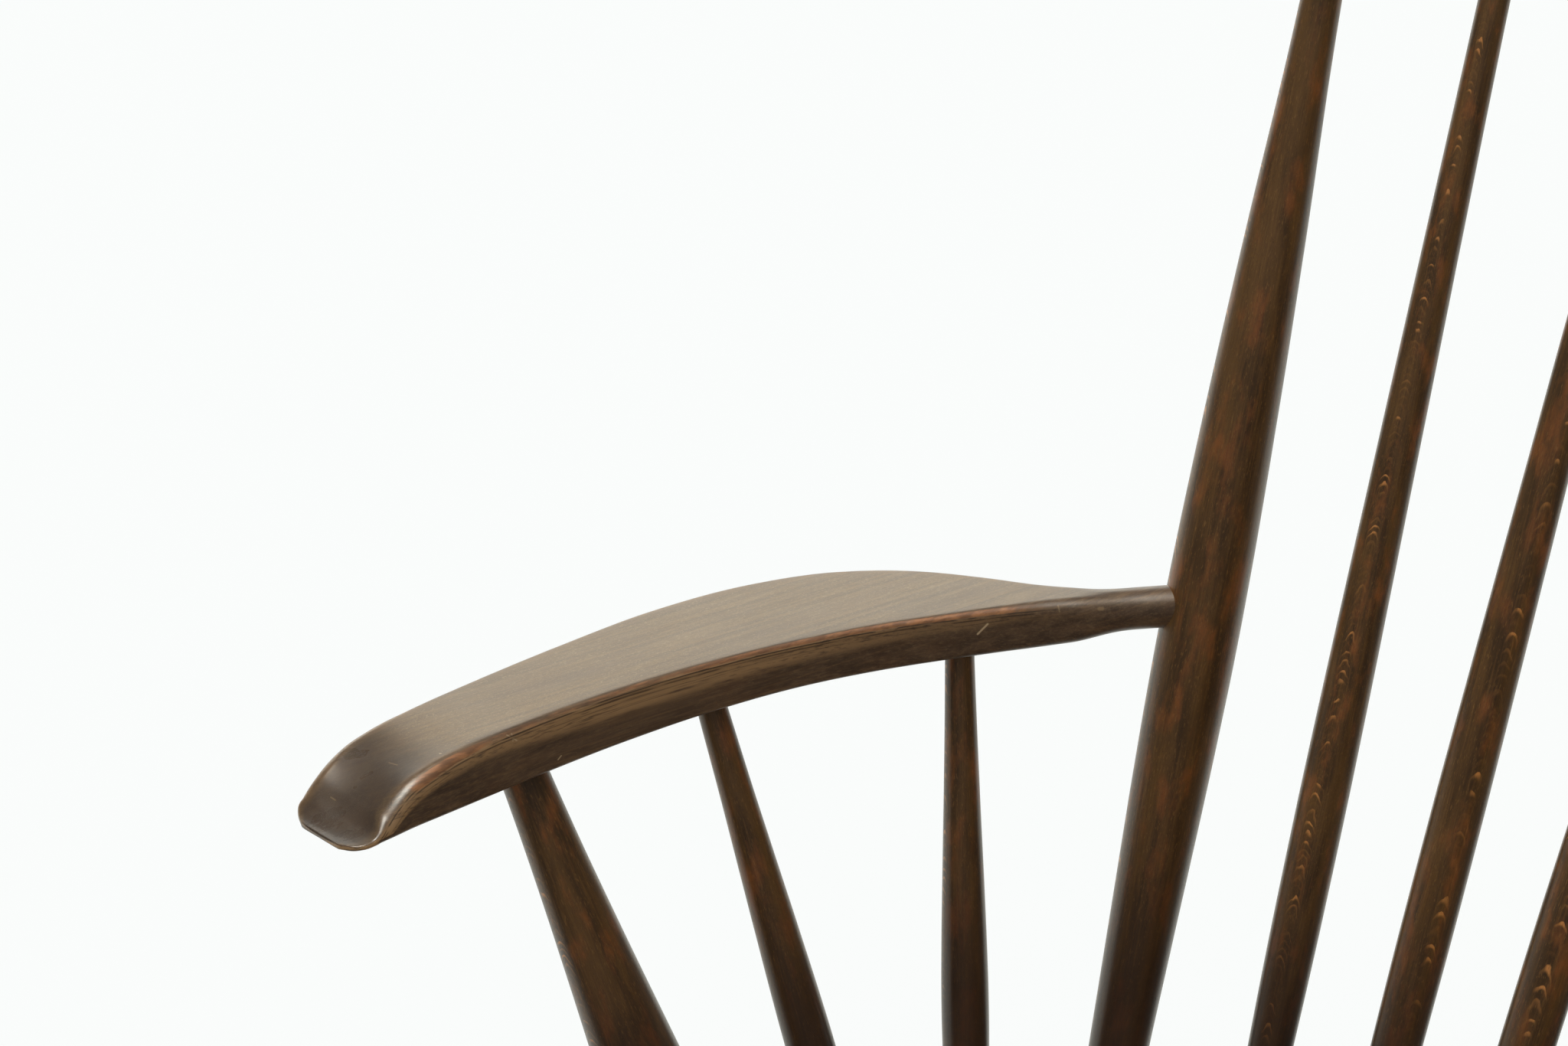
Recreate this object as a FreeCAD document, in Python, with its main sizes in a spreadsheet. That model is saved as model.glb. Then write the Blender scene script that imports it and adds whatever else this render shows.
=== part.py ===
import FreeCAD, Part
import math
import os
import Sketcher

# Spindle-back rocking chair in turned and sculpted beech.
# Millimetres. +Z up, X to the sitter's left, the chair faces -Y.
# The origin is on the floor, under the middle of the rockers' length.

Vec = FreeCAD.Vector
UP = Vec(0, 0, 1)
RIGHT_SIDE = -1
LEFT_SIDE = 1
SIDES = {"right": RIGHT_SIDE, "left": LEFT_SIDE}

# Driving dimensions. Leans are sideways or backward travel for each unit of rise.
SIZES = {
    "arm_joint_side": 216.5,
    "arm_joint_back": 105.0,
    "arm_joint_height": 620.0,
    "socket_clearance": 0.1,
    "socket_end_gap": 0.3,
    "overrun": 60.0,
    # The seat
    "seat_height": 415.0,
    "seat_middle": -122.5,
    "seat_depth": 445.0,
    "seat_front_width": 512.0,
    "seat_rear_width": 462.0,
    "seat_thickness": 34.0,
    "seat_tilt_angle": 3.0,
    "seat_front_bow": 26.0,
    "seat_rear_bow": 12.0,
    "seat_front_corner": 72.0,
    "seat_rear_corner": 48.0,
    "seat_top_round": 7.0,
    "seat_bottom_bevel": 11.0,
    "dish_length": 340.0,
    "dish_width": 392.0,
    "dish_depth": 9.0,
    "dish_ball_height": 60.0,
    "dish_ball_lift": 44.0,
    "dish_back_shift": 4.0,
    # The back posts
    "post_side_lean_share": 0.0958,
    "post_back_lean_share": 0.312,
    "post_foot_dia": 23.0,
    "post_swell_dia": 32.3,
    "post_top_dia": 14.0,
    "post_foot_depth": 24.0,
    "post_top_depth": 26.0,
    # The back spindles, three each side of the middle
    "outer_spindle_side": 156.3,
    "middle_spindle_side": 94.0,
    "inner_spindle_side": 33.0,
    "outer_spindle_back": 129.9,
    "middle_spindle_back": 134.9,
    "inner_spindle_back": 132.5,
    "outer_spindle_side_lean_share": 0.0902,
    "middle_spindle_side_lean_share": 0.0624,
    "inner_spindle_side_lean_share": 0.0221,
    "outer_spindle_back_lean_share": 0.32,
    "middle_spindle_back_lean_share": 0.346,
    "inner_spindle_back_lean_share": 0.357,
    "spindle_foot_dia": 15.5,
    "spindle_swell_dia": 19.1,
    "spindle_top_dia": 10.5,
    "spindle_foot_depth": 20.0,
    "spindle_top_depth": 20.0,
    # The crest rail
    "crest_height": 1005.0,
    "crest_lean_angle": 19.0,
    "crest_thickness": 18.0,
    "crest_depth": 64.0,
    "crest_overhang": 24.0,
    "crest_edge_round": 4.0,
    "crest_pin_dia": 4.0,
    "crest_pin_rise": 12.0,
    # The arms
    "arm_tenon_dia": 17.0,
    "arm_tenon_depth": 21.0,
    "arm_tenon_angle": 28.0,
    "arm_neck_length": 26.0,
    "arm_length": 331.0,
    "arm_reach": 74.0,
    "arm_width": 61.0,
    "arm_thickness": 23.2,
    "arm_edge_round": 2.2,
    "arm_top_rise": 9.4,
    # The turned supports under the arms
    "arm_post_foot_side": 215.0,
    "arm_post_foot_back": -137.5,
    "arm_post_top_side": 290.0,
    "arm_post_top_back": -166.0,
    "arm_post_foot_dia": 25.0,
    "arm_post_swell_dia": 36.0,
    "arm_post_top_dia": 18.6,
    "middle_support_foot_back": -73.0,
    "middle_support_top_side": 298.0,
    "middle_support_top_back": -80.0,
    "rear_support_foot_back": -17.0,
    "rear_support_top_side": 270.0,
    "rear_support_top_back": 22.8,
    "support_foot_dia": 15.5,
    "support_swell_dia": 19.6,
    "support_top_dia": 12.0,
    "support_foot_depth": 20.0,
    "support_top_depth": 11.0,
    # The legs
    "front_leg_top_side": 186.0,
    "front_leg_top_back": -262.0,
    "front_leg_foot_back": -318.0,
    "rear_leg_top_side": 166.0,
    "rear_leg_top_back": 34.0,
    "rear_leg_foot_back": 112.0,
    "leg_top_dia": 24.0,
    "leg_top_depth": 44.0,
    "leg_swell_dia": 35.0,
    "leg_foot_dia": 18.0,
    "leg_foot_depth": 26.0,
    "leg_foot_inset": 2.5,
    "wedge_thickness": 2.6,
    "wedge_depth": 20.0,
    "wedge_tip": 0.8,
    # The stretchers
    "side_stretcher_height": 182.0,
    "stretcher_end_dia": 14.0,
    "stretcher_swell_dia": 22.0,
    "stretcher_end_depth": 14.0,
    "cross_end_depth": 9.0,
    # The rockers
    "rocker_side": 221.0,
    "rocker_length": 792.0,
    "rocker_contact": -56.5,
    "rocker_radius": 1010.0,
    "rocker_thickness": 28.0,
    "rocker_middle_depth": 44.0,
    "rocker_end_depth": 26.0,
    "rocker_nose_round": 11.0,
    "rocker_edge_round": 3.0,
    "rocker_pin_dia": 6.0,
    "rocker_pin_drop": 15.0,
}

# Spline poles of each turned profile between its two plain ends:
# share of the length from the foot, share of the swell's diameter.
POST_SHARES = ((0.06, 0.755), (0.16, 0.86), (0.26, 0.975), (0.355, 1.01),
               (0.45, 0.935), (0.55, 0.81), (0.64, 0.66), (0.71, 0.51), (0.79, 0.445), (0.9, 0.435))
SPINDLE_SHARES = ((0.06, 0.88), (0.14, 0.98), (0.23, 1.01), (0.32, 0.975),
                  (0.43, 0.875), (0.55, 0.775), (0.66, 0.675), (0.76, 0.59), (0.88, 0.555))
ARM_POST_SHARES = ((0.05, 0.80), (0.14, 0.97), (0.26, 1.02), (0.42, 0.89), (0.62, 0.72), (0.84, 0.56))
SUPPORT_SHARES = ((0.07, 0.88), (0.18, 0.99), (0.32, 1.01), (0.5, 0.90), (0.7, 0.755), (0.87, 0.65))
LEG_SHARES = ((0.08, 0.54), (0.22, 0.68), (0.38, 0.92), (0.52, 1.03),
              (0.66, 0.96), (0.82, 0.79), (0.94, 0.70))
STRETCHER_SHARES = ((0.08, 0.68), (0.22, 0.82), (0.36, 0.96), (0.5, 1.03),
                    (0.64, 0.96), (0.78, 0.82), (0.92, 0.68))

# The arm's plan and profile, from the end of its round neck to the nose. In each row:
# share of the length forward, share of the reach outward, heading in degrees, width and thickness
# as shares of the way from the tenon to the full blade, squareness of the upper and lower corners
# as shares of the way from fully round to the edge's rounding, drop of the top's edges, dish of
# its middle and further drop of its inner edge as shares of the section's thickness.
ARM_SHARES = (
    (0.000, 0.000, 28.0, 0.00, 0.00, 0.00, 0.00, 0.00, 0.00, 0.00),
    (0.050, 0.120, 29.0, 0.02, 0.30, 0.30, 0.30, 0.00, 0.00, 0.00),
    (0.100, 0.280, 30.0, 0.13, 0.48, 0.60, 0.60, 0.00, 0.00, 0.00),
    (0.150, 0.460, 29.0, 0.39, 0.49, 0.80, 0.80, 0.00, 0.00, 0.00),
    (0.211, 0.665, 23.0, 0.71, 0.50, 0.90, 0.90, 0.00, 0.00, 0.00),
    (0.284, 0.840, 16.0, 0.92, 0.52, 0.95, 0.95, 0.00, 0.00, 0.00),
    (0.380, 0.960, 7.5, 0.99, 0.52, 1.00, 1.00, 0.00, 0.00, 0.00),
    (0.500, 1.010, 1.0, 0.92, 0.67, 1.00, 1.00, 0.00, 0.00, 0.00),
    (0.630, 0.980, -5.0, 0.76, 0.88, 1.00, 1.00, 0.00, 0.00, 0.00),
    (0.750, 0.910, -9.0, 0.65, 1.00, 1.00, 1.00, 0.00, 0.00, 0.00),
    (0.840, 0.830, -11.0, 0.61, 0.92, 0.93, 1.00, 0.00, 0.01, 0.00),
    (0.890, 0.780, -12.0, 0.61, 0.78, 0.80, 1.00, 0.03, 0.08, 0.05),
    (0.930, 0.740, -13.0, 0.60, 0.70, 0.65, 1.00, 0.15, 0.16, 0.11),
    (0.960, 0.696, -14.0, 0.565, 0.66, 0.55, 1.00, 0.38, 0.18, 0.22),
    (0.978, 0.671, -14.0, 0.52, 0.66, 0.60, 1.00, 0.60, 0.11, 0.25),
    (0.991, 0.657, -13.0, 0.46, 0.66, 0.75, 1.00, 0.76, 0.05, 0.14),
    (0.999, 0.648, -12.0, 0.335, 0.66, 0.90, 1.00, 0.86, 0.02, 0.05),
    (1.005, 0.648, -12.0, 0.16, 0.66, 1.00, 1.00, 0.91, 0.00, 0.00),
)
# The crest rail from its middle to one end: share of the half's length, lower and upper edge
# as shares of the depth
CREST_SHARES = (
    (0.00, 0.00, 1.00),
    (0.20, 0.00, 0.99),
    (0.40, 0.00, 0.96),
    (0.58, 0.00, 0.90),
    (0.74, 0.00, 0.82),
    (0.87, 0.00, 0.74),
    (0.94, 0.02, 0.68),
    (0.98, 0.07, 0.61),
    (1.00, 0.15, 0.52),
)
# The most that a rounded corner takes of a section's side
ROUND_LIMIT_SHARE = 0.49
WALL_LIMIT_SHARE = 0.95
# Where a stretcher enters a swollen piece, as a share of the swell's radius
LEG_SURFACE_SHARE = 0.94

# How a sketch names a curve's points, its own origin and its vertical axis
START, END, CENTRE = 1, 2, 3
ORIGIN, V_AXIS = -1, -2
CURVE_DEGREE = 3

document = FreeCAD.newDocument("RockingChair")
sheet = document.addObject("Spreadsheet::Sheet", "sizes")
lengths = document.addObject("Spreadsheet::Sheet", "lengths")


def fill(table, row, alias, value):
    table.set("A%d" % row, alias)
    table.set("B%d" % row, repr(float(value)))
    table.setAlias("B%d" % row, alias)


for number, (alias, value) in enumerate(SIZES.items(), 1):
    fill(sheet, number, alias, value)
document.recompute()


def size(alias):
    return float(sheet.get(alias))


def stated(alias):
    return "sizes.%s" % alias


def worked_out(alias, value):
    """Keep a length that follows from the others in its own cell, and name the cell."""
    length_names.append(alias)
    fill(lengths, len(length_names), alias, value)
    lengths.recompute()
    return "lengths.%s" % alias


def bind(thing, path, expression):
    thing.setExpression(path, expression)


def finish(thing, label):
    thing.Label = label
    pieces[label] = thing
    return thing


length_names = []
pieces = {}
seat_slope = math.tan(math.radians(size("seat_tilt_angle")))
seat_origin = Vec(0, size("seat_middle"), size("seat_height"))
seat_rotation = FreeCAD.Rotation(Vec(1, 0, 0), -size("seat_tilt_angle"))
seat_placement = FreeCAD.Placement(seat_origin, seat_rotation)
seat_normal = seat_rotation.multVec(UP)


def on_seat(side, back):
    """The point of the seat's top plane over a place in plan."""
    return Vec(side, back, size("seat_height") - (back - size("seat_middle")) * seat_slope)


def meet_seat(point, direction, depth=0):
    """Where a line crosses the seat's top plane, or the plane at a depth under it."""
    level = seat_origin - seat_normal * depth
    return point + direction * ((level - point).dot(seat_normal) / direction.dot(seat_normal))


def at_height(point, direction, height):
    return point + direction * ((height - point.z) / direction.z)


def origin_plane(body, role):
    return next(feature for feature in body.Origin.OriginFeatures if feature.Role == role)


def edge_names(shape, wanted):
    return ["Edge%d" % number for number, edge in enumerate(shape.Edges, 1) if wanted(edge)]


def constrain(sketch, expression, kind, *where):
    index = sketch.addConstraint(Sketcher.Constraint(kind, *where))
    bind(sketch, "Constraints[%d]" % index, expression)


def turned(label, foot, top, dias, depths, swell, shares):
    """A piece turned between centres: round ends for its sockets and a swelling spline between.

    foot and top are where the axis enters the two sockets. dias and depths name the round ends'
    diameters and depths at foot and top. shares lists the spline's poles.
    """
    length = (top - foot).Length
    length_cell = worked_out(label + "_length", length)
    foot_radius, top_radius = (size(dia) / 2 for dia in dias)
    foot_depth, top_depth = (size(depth) for depth in depths)
    foot_radius_cell, top_radius_cell = ("%s / 2" % stated(dia) for dia in dias)
    foot_depth_cell, top_depth_cell = (stated(depth) for depth in depths)
    gap = size("socket_end_gap")
    gap_cell = stated("socket_end_gap")
    body = document.addObject("PartDesign::Body", label + "_turning")
    sketch = body.newObject("Sketcher::SketchObject", label + "_profile")
    sketch.AttachmentSupport = (origin_plane(body, "XZ_Plane"), "")
    sketch.MapMode = "FlatFace"
    low = -foot_depth + gap
    high = length + top_depth - gap
    neck = foot_radius / 2
    shoulder = length - top_radius / 2
    corners = [Vec(0, low, 0), Vec(foot_radius, low, 0), Vec(foot_radius, neck, 0),
               Vec(top_radius, shoulder, 0), Vec(top_radius, high, 0), Vec(0, high, 0)]
    poles = [corners[2]]
    poles += [Vec(size(swell) / 2 * girth, length * share, 0) for share, girth in shares]
    poles += [corners[3]]
    spans = len(poles) - CURVE_DEGREE
    knots = list(range(spans + 1))
    repeats = [CURVE_DEGREE + 1 if knot in (knots[0], knots[-1]) else 1 for knot in knots]
    spline = Part.BSplineCurve()
    spline.buildFromPolesMultsKnots(poles, repeats, knots, False, CURVE_DEGREE)
    bottom, low_side, curve, high_side, end, axis = sketch.addGeometry([
        Part.LineSegment(corners[0], corners[1]),
        Part.LineSegment(corners[1], corners[2]),
        spline,
        Part.LineSegment(corners[3], corners[4]),
        Part.LineSegment(corners[4], corners[5]),
        Part.LineSegment(corners[5], corners[0])], False)
    for first, second in ((bottom, low_side), (low_side, curve), (curve, high_side),
                          (high_side, end), (end, axis), (axis, bottom)):
        sketch.addConstraint(Sketcher.Constraint("Coincident", first, END, second, START))
    for line in (bottom, end):
        sketch.addConstraint(Sketcher.Constraint("Horizontal", line))
    for line in (low_side, high_side):
        sketch.addConstraint(Sketcher.Constraint("Vertical", line))
    for point in (START, END):
        sketch.addConstraint(Sketcher.Constraint("PointOnObject", axis, point, V_AXIS))
    constrain(sketch, foot_radius_cell, "DistanceX", ORIGIN, START, low_side, END, foot_radius)
    constrain(sketch, top_radius_cell, "DistanceX", ORIGIN, START, high_side, START, top_radius)
    constrain(sketch, "%s / 2" % foot_radius_cell, "DistanceY", ORIGIN, START, low_side, END, neck)
    constrain(sketch, "%s - %s / 2" % (length_cell, top_radius_cell), "DistanceY", ORIGIN, START,
              high_side, START, shoulder)
    constrain(sketch, "%s - %s" % (foot_depth_cell, gap_cell), "DistanceY", low_side, START,
              ORIGIN, START, -low)
    constrain(sketch, "%s + %s - %s" % (length_cell, top_depth_cell, gap_cell), "DistanceY",
              ORIGIN, START, high_side, END, high)
    for index, (share, girth) in enumerate(shares, 1):
        pole = sketch.addGeometry(Part.Circle(poles[index], UP, 1.0), True)
        sketch.addConstraint(Sketcher.Constraint("Weight", pole, 1.0))
        sketch.addConstraint(Sketcher.Constraint(
            "InternalAlignment:Sketcher::BSplineControlPoint", pole, CENTRE, curve, index))
        constrain(sketch, "%s / 2 * %s" % (stated(swell), girth), "DistanceX", ORIGIN, START,
                  pole, CENTRE, poles[index].x)
        constrain(sketch, "%s * %s" % (length_cell, share), "DistanceY", ORIGIN, START,
                  pole, CENTRE, poles[index].y)
    spin = body.newObject("PartDesign::Revolution", label + "_spin")
    spin.Profile = sketch
    spin.ReferenceAxis = (sketch, ["V_Axis"])
    spin.Angle = 360
    body.Tip = spin
    body.Placement = FreeCAD.Placement(foot, FreeCAD.Rotation(UP, top - foot))
    return body


def socket(label, mouth, inward, dia, depth, lead="overrun"):
    """The space that a round end fills: a cylinder from outside the mouth to the socket's floor."""
    drill = document.addObject("Part::Cylinder", label)
    direction = inward / inward.Length
    bind(drill, "Radius", "%s / 2 + %s" % (stated(dia), stated("socket_clearance")))
    bind(drill, "Height", "%s + %s" % (stated(depth), stated(lead)))
    drill.Placement = FreeCAD.Placement(mouth - direction * size(lead), FreeCAD.Rotation(UP, direction))
    return drill


def cut(label, base, tools):
    """The base with every tool taken out of it."""
    result = document.addObject("Part::Cut", label + "_cut")
    result.Base = base
    if len(tools) == 1:
        result.Tool = tools[0]
    else:
        gathered = document.addObject("Part::MultiFuse", label + "_tools")
        gathered.Shapes = tools
        result.Tool = gathered
    return result


def mirrored(point, side):
    """A point of the left half on the given side."""
    return Vec(point.x * side, point.y, point.z)


# Axes of the upright members, as points on the left half
post_joint = Vec(size("arm_joint_side"), size("arm_joint_back"), size("arm_joint_height"))
post_direction = Vec(size("post_side_lean_share"), size("post_back_lean_share"), 1)
post_foot = meet_seat(post_joint, post_direction)
post_top = at_height(post_joint, post_direction, size("crest_height"))

spindle_ends = {}
for place in ("outer", "middle", "inner"):
    point = Vec(size(place + "_spindle_side"), size(place + "_spindle_back"), size("arm_joint_height"))
    direction = Vec(size(place + "_spindle_side_lean_share"), size(place + "_spindle_back_lean_share"), 1)
    spindle_ends[place] = (meet_seat(point, direction), at_height(point, direction, size("crest_height")))

# The arm's tenon is level, aims at the post's axis and ends flush with the arm's top
arm_top = size("arm_joint_height") + size("arm_top_rise")
arm_joint = at_height(post_joint, post_direction, arm_top - size("arm_tenon_dia") / 2)
arm_heading = math.radians(size("arm_tenon_angle"))
arm_forward = Vec(math.sin(arm_heading), -math.cos(arm_heading), 0)
arm_neck = arm_joint + arm_forward * size("arm_neck_length")


def between(low, high, share):
    return low + (high - low) * share


def arm_underside(back):
    """Height of the arm's flat underside at a place along it."""
    forward = (arm_neck.y - back) / size("arm_length")
    for before, after in zip(ARM_SHARES, ARM_SHARES[1:]):
        if before[0] <= forward <= after[0]:
            part = (forward - before[0]) / (after[0] - before[0])
            fullness = between(before[4], after[4], part)
    return arm_top - between(size("arm_tenon_dia"), size("arm_thickness"), fullness)


def support_axis(foot_back, top_side, top_back):
    """An arm support's two ends, from the seat's top to the arm's underside."""
    foot = on_seat(size("arm_post_foot_side"), size(foot_back))
    return foot, Vec(size(top_side), size(top_back), arm_underside(size(top_back)))


support_ends = {
    "post": support_axis("arm_post_foot_back", "arm_post_top_side", "arm_post_top_back"),
    "middle": support_axis("middle_support_foot_back", "middle_support_top_side", "middle_support_top_back"),
    "rear": support_axis("rear_support_foot_back", "rear_support_top_side", "rear_support_top_back"),
}

# The rockers' curves
rocker_half = size("rocker_length") / 2
rocker_centre = Vec(0, size("rocker_contact"), size("rocker_radius"))


def rocker_bottom(back):
    """Height of the rocker's running edge at a place along it."""
    run = back - size("rocker_contact")
    return size("rocker_radius") - math.sqrt(size("rocker_radius") ** 2 - run ** 2)


front_tip = Vec(-rocker_half, rocker_bottom(-rocker_half) + size("rocker_end_depth"), 0)
rear_tip = Vec(rocker_half, rocker_bottom(rocker_half) + size("rocker_end_depth"), 0)
top_middle = Vec(size("rocker_contact"), size("rocker_middle_depth"), 0)
rocker_top_circle = Part.Arc(front_tip, top_middle, rear_tip).toShape().Curve
rocker_top_radius = rocker_top_circle.Radius
rocker_top_centre = rocker_top_circle.Center


def rocker_top(back):
    """Height of the rocker's upper edge at a place along it."""
    return rocker_top_centre.y - math.sqrt(rocker_top_radius ** 2 - (back - rocker_top_centre.x) ** 2)


# Each leg runs from the rocker's upper edge through the seat, and enters it at the shoulder
leg_ends = {}
leg_shoulders = {}
for place in ("front", "rear"):
    foot_back = size(place + "_leg_foot_back")
    foot = Vec(size("rocker_side") - size("leg_foot_inset"), foot_back, rocker_top(foot_back))
    top = on_seat(size(place + "_leg_top_side"), size(place + "_leg_top_back"))
    leg_ends[place] = (foot, top)
    leg_shoulders[place] = meet_seat(foot, top - foot, size("seat_thickness"))


def leg_point(place, height):
    foot, top = leg_ends[place]
    return at_height(foot, top - foot, height)


stretcher_axis = [leg_point(place, size("side_stretcher_height")) for place in ("front", "rear")]
stretcher_run = (stretcher_axis[1] - stretcher_axis[0]).normalize()
leg_surface = size("leg_swell_dia") * LEG_SURFACE_SHARE / 2
stretcher_ends = (stretcher_axis[0] + stretcher_run * leg_surface,
                  stretcher_axis[1] - stretcher_run * leg_surface)
cross_end = (stretcher_ends[0] + stretcher_ends[1]) / 2
cross_end.x -= size("stretcher_swell_dia") * LEG_SURFACE_SHARE / 2


def make_seat():
    body = document.addObject("PartDesign::Body", "seat_plank")
    sketch = body.newObject("Sketcher::SketchObject", "seat_outline")
    sketch.AttachmentSupport = (origin_plane(body, "XY_Plane"), "")
    sketch.MapMode = "FlatFace"
    half = size("seat_depth") / 2
    front = size("seat_front_width") / 2
    rear = size("seat_rear_width") / 2
    front_left = Vec(front, size("seat_front_bow") - half, 0)
    front_right = mirrored(front_left, RIGHT_SIDE)
    rear_left = Vec(rear, half - size("seat_rear_bow"), 0)
    rear_right = mirrored(rear_left, RIGHT_SIDE)
    front_edge, left_edge, rear_edge, right_edge = sketch.addGeometry([
        Part.Arc(front_right, Vec(0, -half, 0), front_left),
        Part.LineSegment(front_left, rear_left),
        Part.Arc(rear_left, Vec(0, half, 0), rear_right),
        Part.LineSegment(rear_right, front_right)], False)
    for first, second in ((front_edge, left_edge), (left_edge, rear_edge),
                          (rear_edge, right_edge), (right_edge, front_edge)):
        sketch.addConstraint(Sketcher.Constraint("Coincident", first, END, second, START))
    for point, other in ((START, END), (END, START)):
        sketch.addConstraint(Sketcher.Constraint("Symmetric", left_edge, point, right_edge, other, V_AXIS))
    constrain(sketch, stated("seat_front_width"), "DistanceX", right_edge, END, left_edge, START, 2 * front)
    constrain(sketch, stated("seat_rear_width"), "DistanceX", right_edge, START, left_edge, END, 2 * rear)
    half_cell = "%s / 2" % stated("seat_depth")
    constrain(sketch, "%s - %s" % (half_cell, stated("seat_front_bow")), "DistanceY", left_edge, START,
              ORIGIN, START, half - size("seat_front_bow"))
    constrain(sketch, "%s - %s" % (half_cell, stated("seat_rear_bow")), "DistanceY", ORIGIN, START,
              left_edge, END, half - size("seat_rear_bow"))
    bow_radius = "((%s / 2) ^ 2 + %s ^ 2) / (2 * %s)"
    for edge, width, bow in ((front_edge, "seat_front_width", "seat_front_bow"),
                             (rear_edge, "seat_rear_width", "seat_rear_bow")):
        radius = ((size(width) / 2) ** 2 + size(bow) ** 2) / (2 * size(bow))
        constrain(sketch, bow_radius % (stated(width), stated(bow), stated(bow)), "Radius", edge, radius)
    pad = body.newObject("PartDesign::Pad", "seat_board")
    pad.Profile = sketch
    pad.Reversed = True
    bind(pad, "Length", stated("seat_thickness"))
    document.recompute()

    middle_level = -size("seat_thickness") / 2

    def at_corner(edge, end):
        box = edge.BoundBox
        return box.ZMin < middle_level < box.ZMax and box.Center.y * end > 0

    def on_top(edge):
        return edge.BoundBox.ZMin > middle_level

    def underneath(edge):
        return edge.BoundBox.ZMax < middle_level

    feature = pad
    for name, end in (("front", -1), ("rear", 1)):
        corner = body.newObject("PartDesign::Fillet", "seat_%s_corners" % name)
        corner.Base = (feature, edge_names(feature.Shape, lambda edge: at_corner(edge, end)))
        bind(corner, "Radius", stated("seat_%s_corner" % name))
        document.recompute()
        feature = corner
    rounding = body.newObject("PartDesign::Fillet", "seat_top_rounding")
    rounding.Base = (feature, edge_names(feature.Shape, on_top))
    bind(rounding, "Radius", stated("seat_top_round"))
    document.recompute()
    bevel = body.newObject("PartDesign::Chamfer", "seat_bottom_edge")
    bevel.Base = (rounding, edge_names(rounding.Shape, underneath))
    bind(bevel, "Size", stated("seat_bottom_bevel"))
    document.recompute()
    body.Tip = bevel
    body.Placement = seat_placement

    # The dish: the lower part of a flattened ball, cut off level so that its floor is a flat panel
    bowl = document.addObject("Part::Ellipsoid", "dish_ball")
    rim = "sqrt(1 - (%s / %s) ^ 2)" % (stated("dish_ball_lift"), stated("dish_ball_height"))
    bind(bowl, "Radius1", stated("dish_ball_height"))
    bind(bowl, "Radius2", "%s / 2 / %s" % (stated("dish_width"), rim))
    bind(bowl, "Radius3", "%s / 2 / %s" % (stated("dish_length"), rim))
    bowl.Placement = seat_placement.multiply(FreeCAD.Placement(
        Vec(0, size("dish_back_shift"), size("dish_ball_lift")), FreeCAD.Rotation()))
    level = document.addObject("Part::Box", "dish_level")
    bind(level, "Length", stated("seat_front_width"))
    bind(level, "Width", "%s + %s" % (stated("seat_depth"), stated("overrun")))
    bind(level, "Height", "%s + %s" % (stated("dish_depth"), stated("overrun")))
    corner = Vec(-size("seat_front_width") / 2, -(size("seat_depth") + size("overrun")) / 2,
                 -size("dish_depth"))
    level.Placement = seat_placement.multiply(FreeCAD.Placement(corner, FreeCAD.Rotation()))
    dish = document.addObject("Part::Common", "dish")
    dish.Base = bowl
    dish.Tool = level

    tools = [dish]
    for name, side in SIDES.items():
        tools.append(socket("seat_post_socket_" + name, mirrored(post_foot, side),
                            mirrored(-post_direction, side), "post_foot_dia", "post_foot_depth"))
        for place, (foot, top) in spindle_ends.items():
            tools.append(socket("seat_%s_spindle_socket_%s" % (place, name), mirrored(foot, side),
                                mirrored(foot - top, side), "spindle_foot_dia", "spindle_foot_depth"))
        for place, (foot, top) in support_ends.items():
            dia = "arm_post_foot_dia" if place == "post" else "support_foot_dia"
            tools.append(socket("seat_%s_support_socket_%s" % (place, name), mirrored(foot, side),
                                mirrored(foot - top, side), dia, "support_foot_depth"))
        for place, (foot, top) in leg_ends.items():
            tools.append(socket("seat_%s_leg_bore_%s" % (place, name), mirrored(top, side),
                                mirrored(foot - top, side), "leg_top_dia", "overrun"))
    finish(cut("seat", body, tools), "seat")


def fitted_rounds(rounds, depth, width):
    """The lower and upper corner's radii, no larger than the section's side has room for."""
    low_round = min(rounds[0], depth * ROUND_LIMIT_SHARE, width * ROUND_LIMIT_SHARE)
    return low_round, min(rounds[1], (depth - low_round) * WALL_LIMIT_SHARE, width * ROUND_LIMIT_SHARE)


def rounded_section(centre, across, up, width, low, high, rounds, dish=0, lean=0):
    """A rounded four-sided section. The top's middle is dished, and lean drops its inner edge."""
    half = width / 2
    inner_high = high - lean
    low_outer, high_outer = fitted_rounds(rounds, high - low, width)
    low_inner, high_inner = fitted_rounds(rounds, inner_high - low, width)
    bend = 1 - math.sqrt(0.5)

    def spot(side, height):
        return centre + across * side + up * height

    def corner(side, height, radius, toward):
        """The arc that rounds the corner at side and height; toward is its first leg."""
        inward_side = -math.copysign(radius, side)
        inward_up = radius if height == low else -radius
        flat = spot(side + inward_side, height)
        wall = spot(side, height + inward_up)
        middle = spot(side + inward_side * bend, height + inward_up * bend)
        return Part.Arc(flat, middle, wall) if toward == "wall" else Part.Arc(wall, middle, flat)

    ends = (spot(half - high_outer, high), spot(high_inner - half, inner_high))
    top = Part.BezierCurve()
    top.setPoles([ends[0], (ends[0] + ends[1]) / 2 - up * (2 * dish), ends[1]])
    edges = [
        Part.LineSegment(spot(low_inner - half, low), spot(half - low_outer, low)),
        corner(half, low, low_outer, "wall"),
        Part.LineSegment(spot(half, low + low_outer), spot(half, high - high_outer)),
        corner(half, high, high_outer, "flat"),
        top,
        corner(-half, inner_high, high_inner, "wall"),
        Part.LineSegment(spot(-half, inner_high - high_inner), spot(-half, low + low_inner)),
        corner(-half, low, low_inner, "flat"),
    ]
    return Part.Wire([edge.toShape() for edge in edges])


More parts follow.
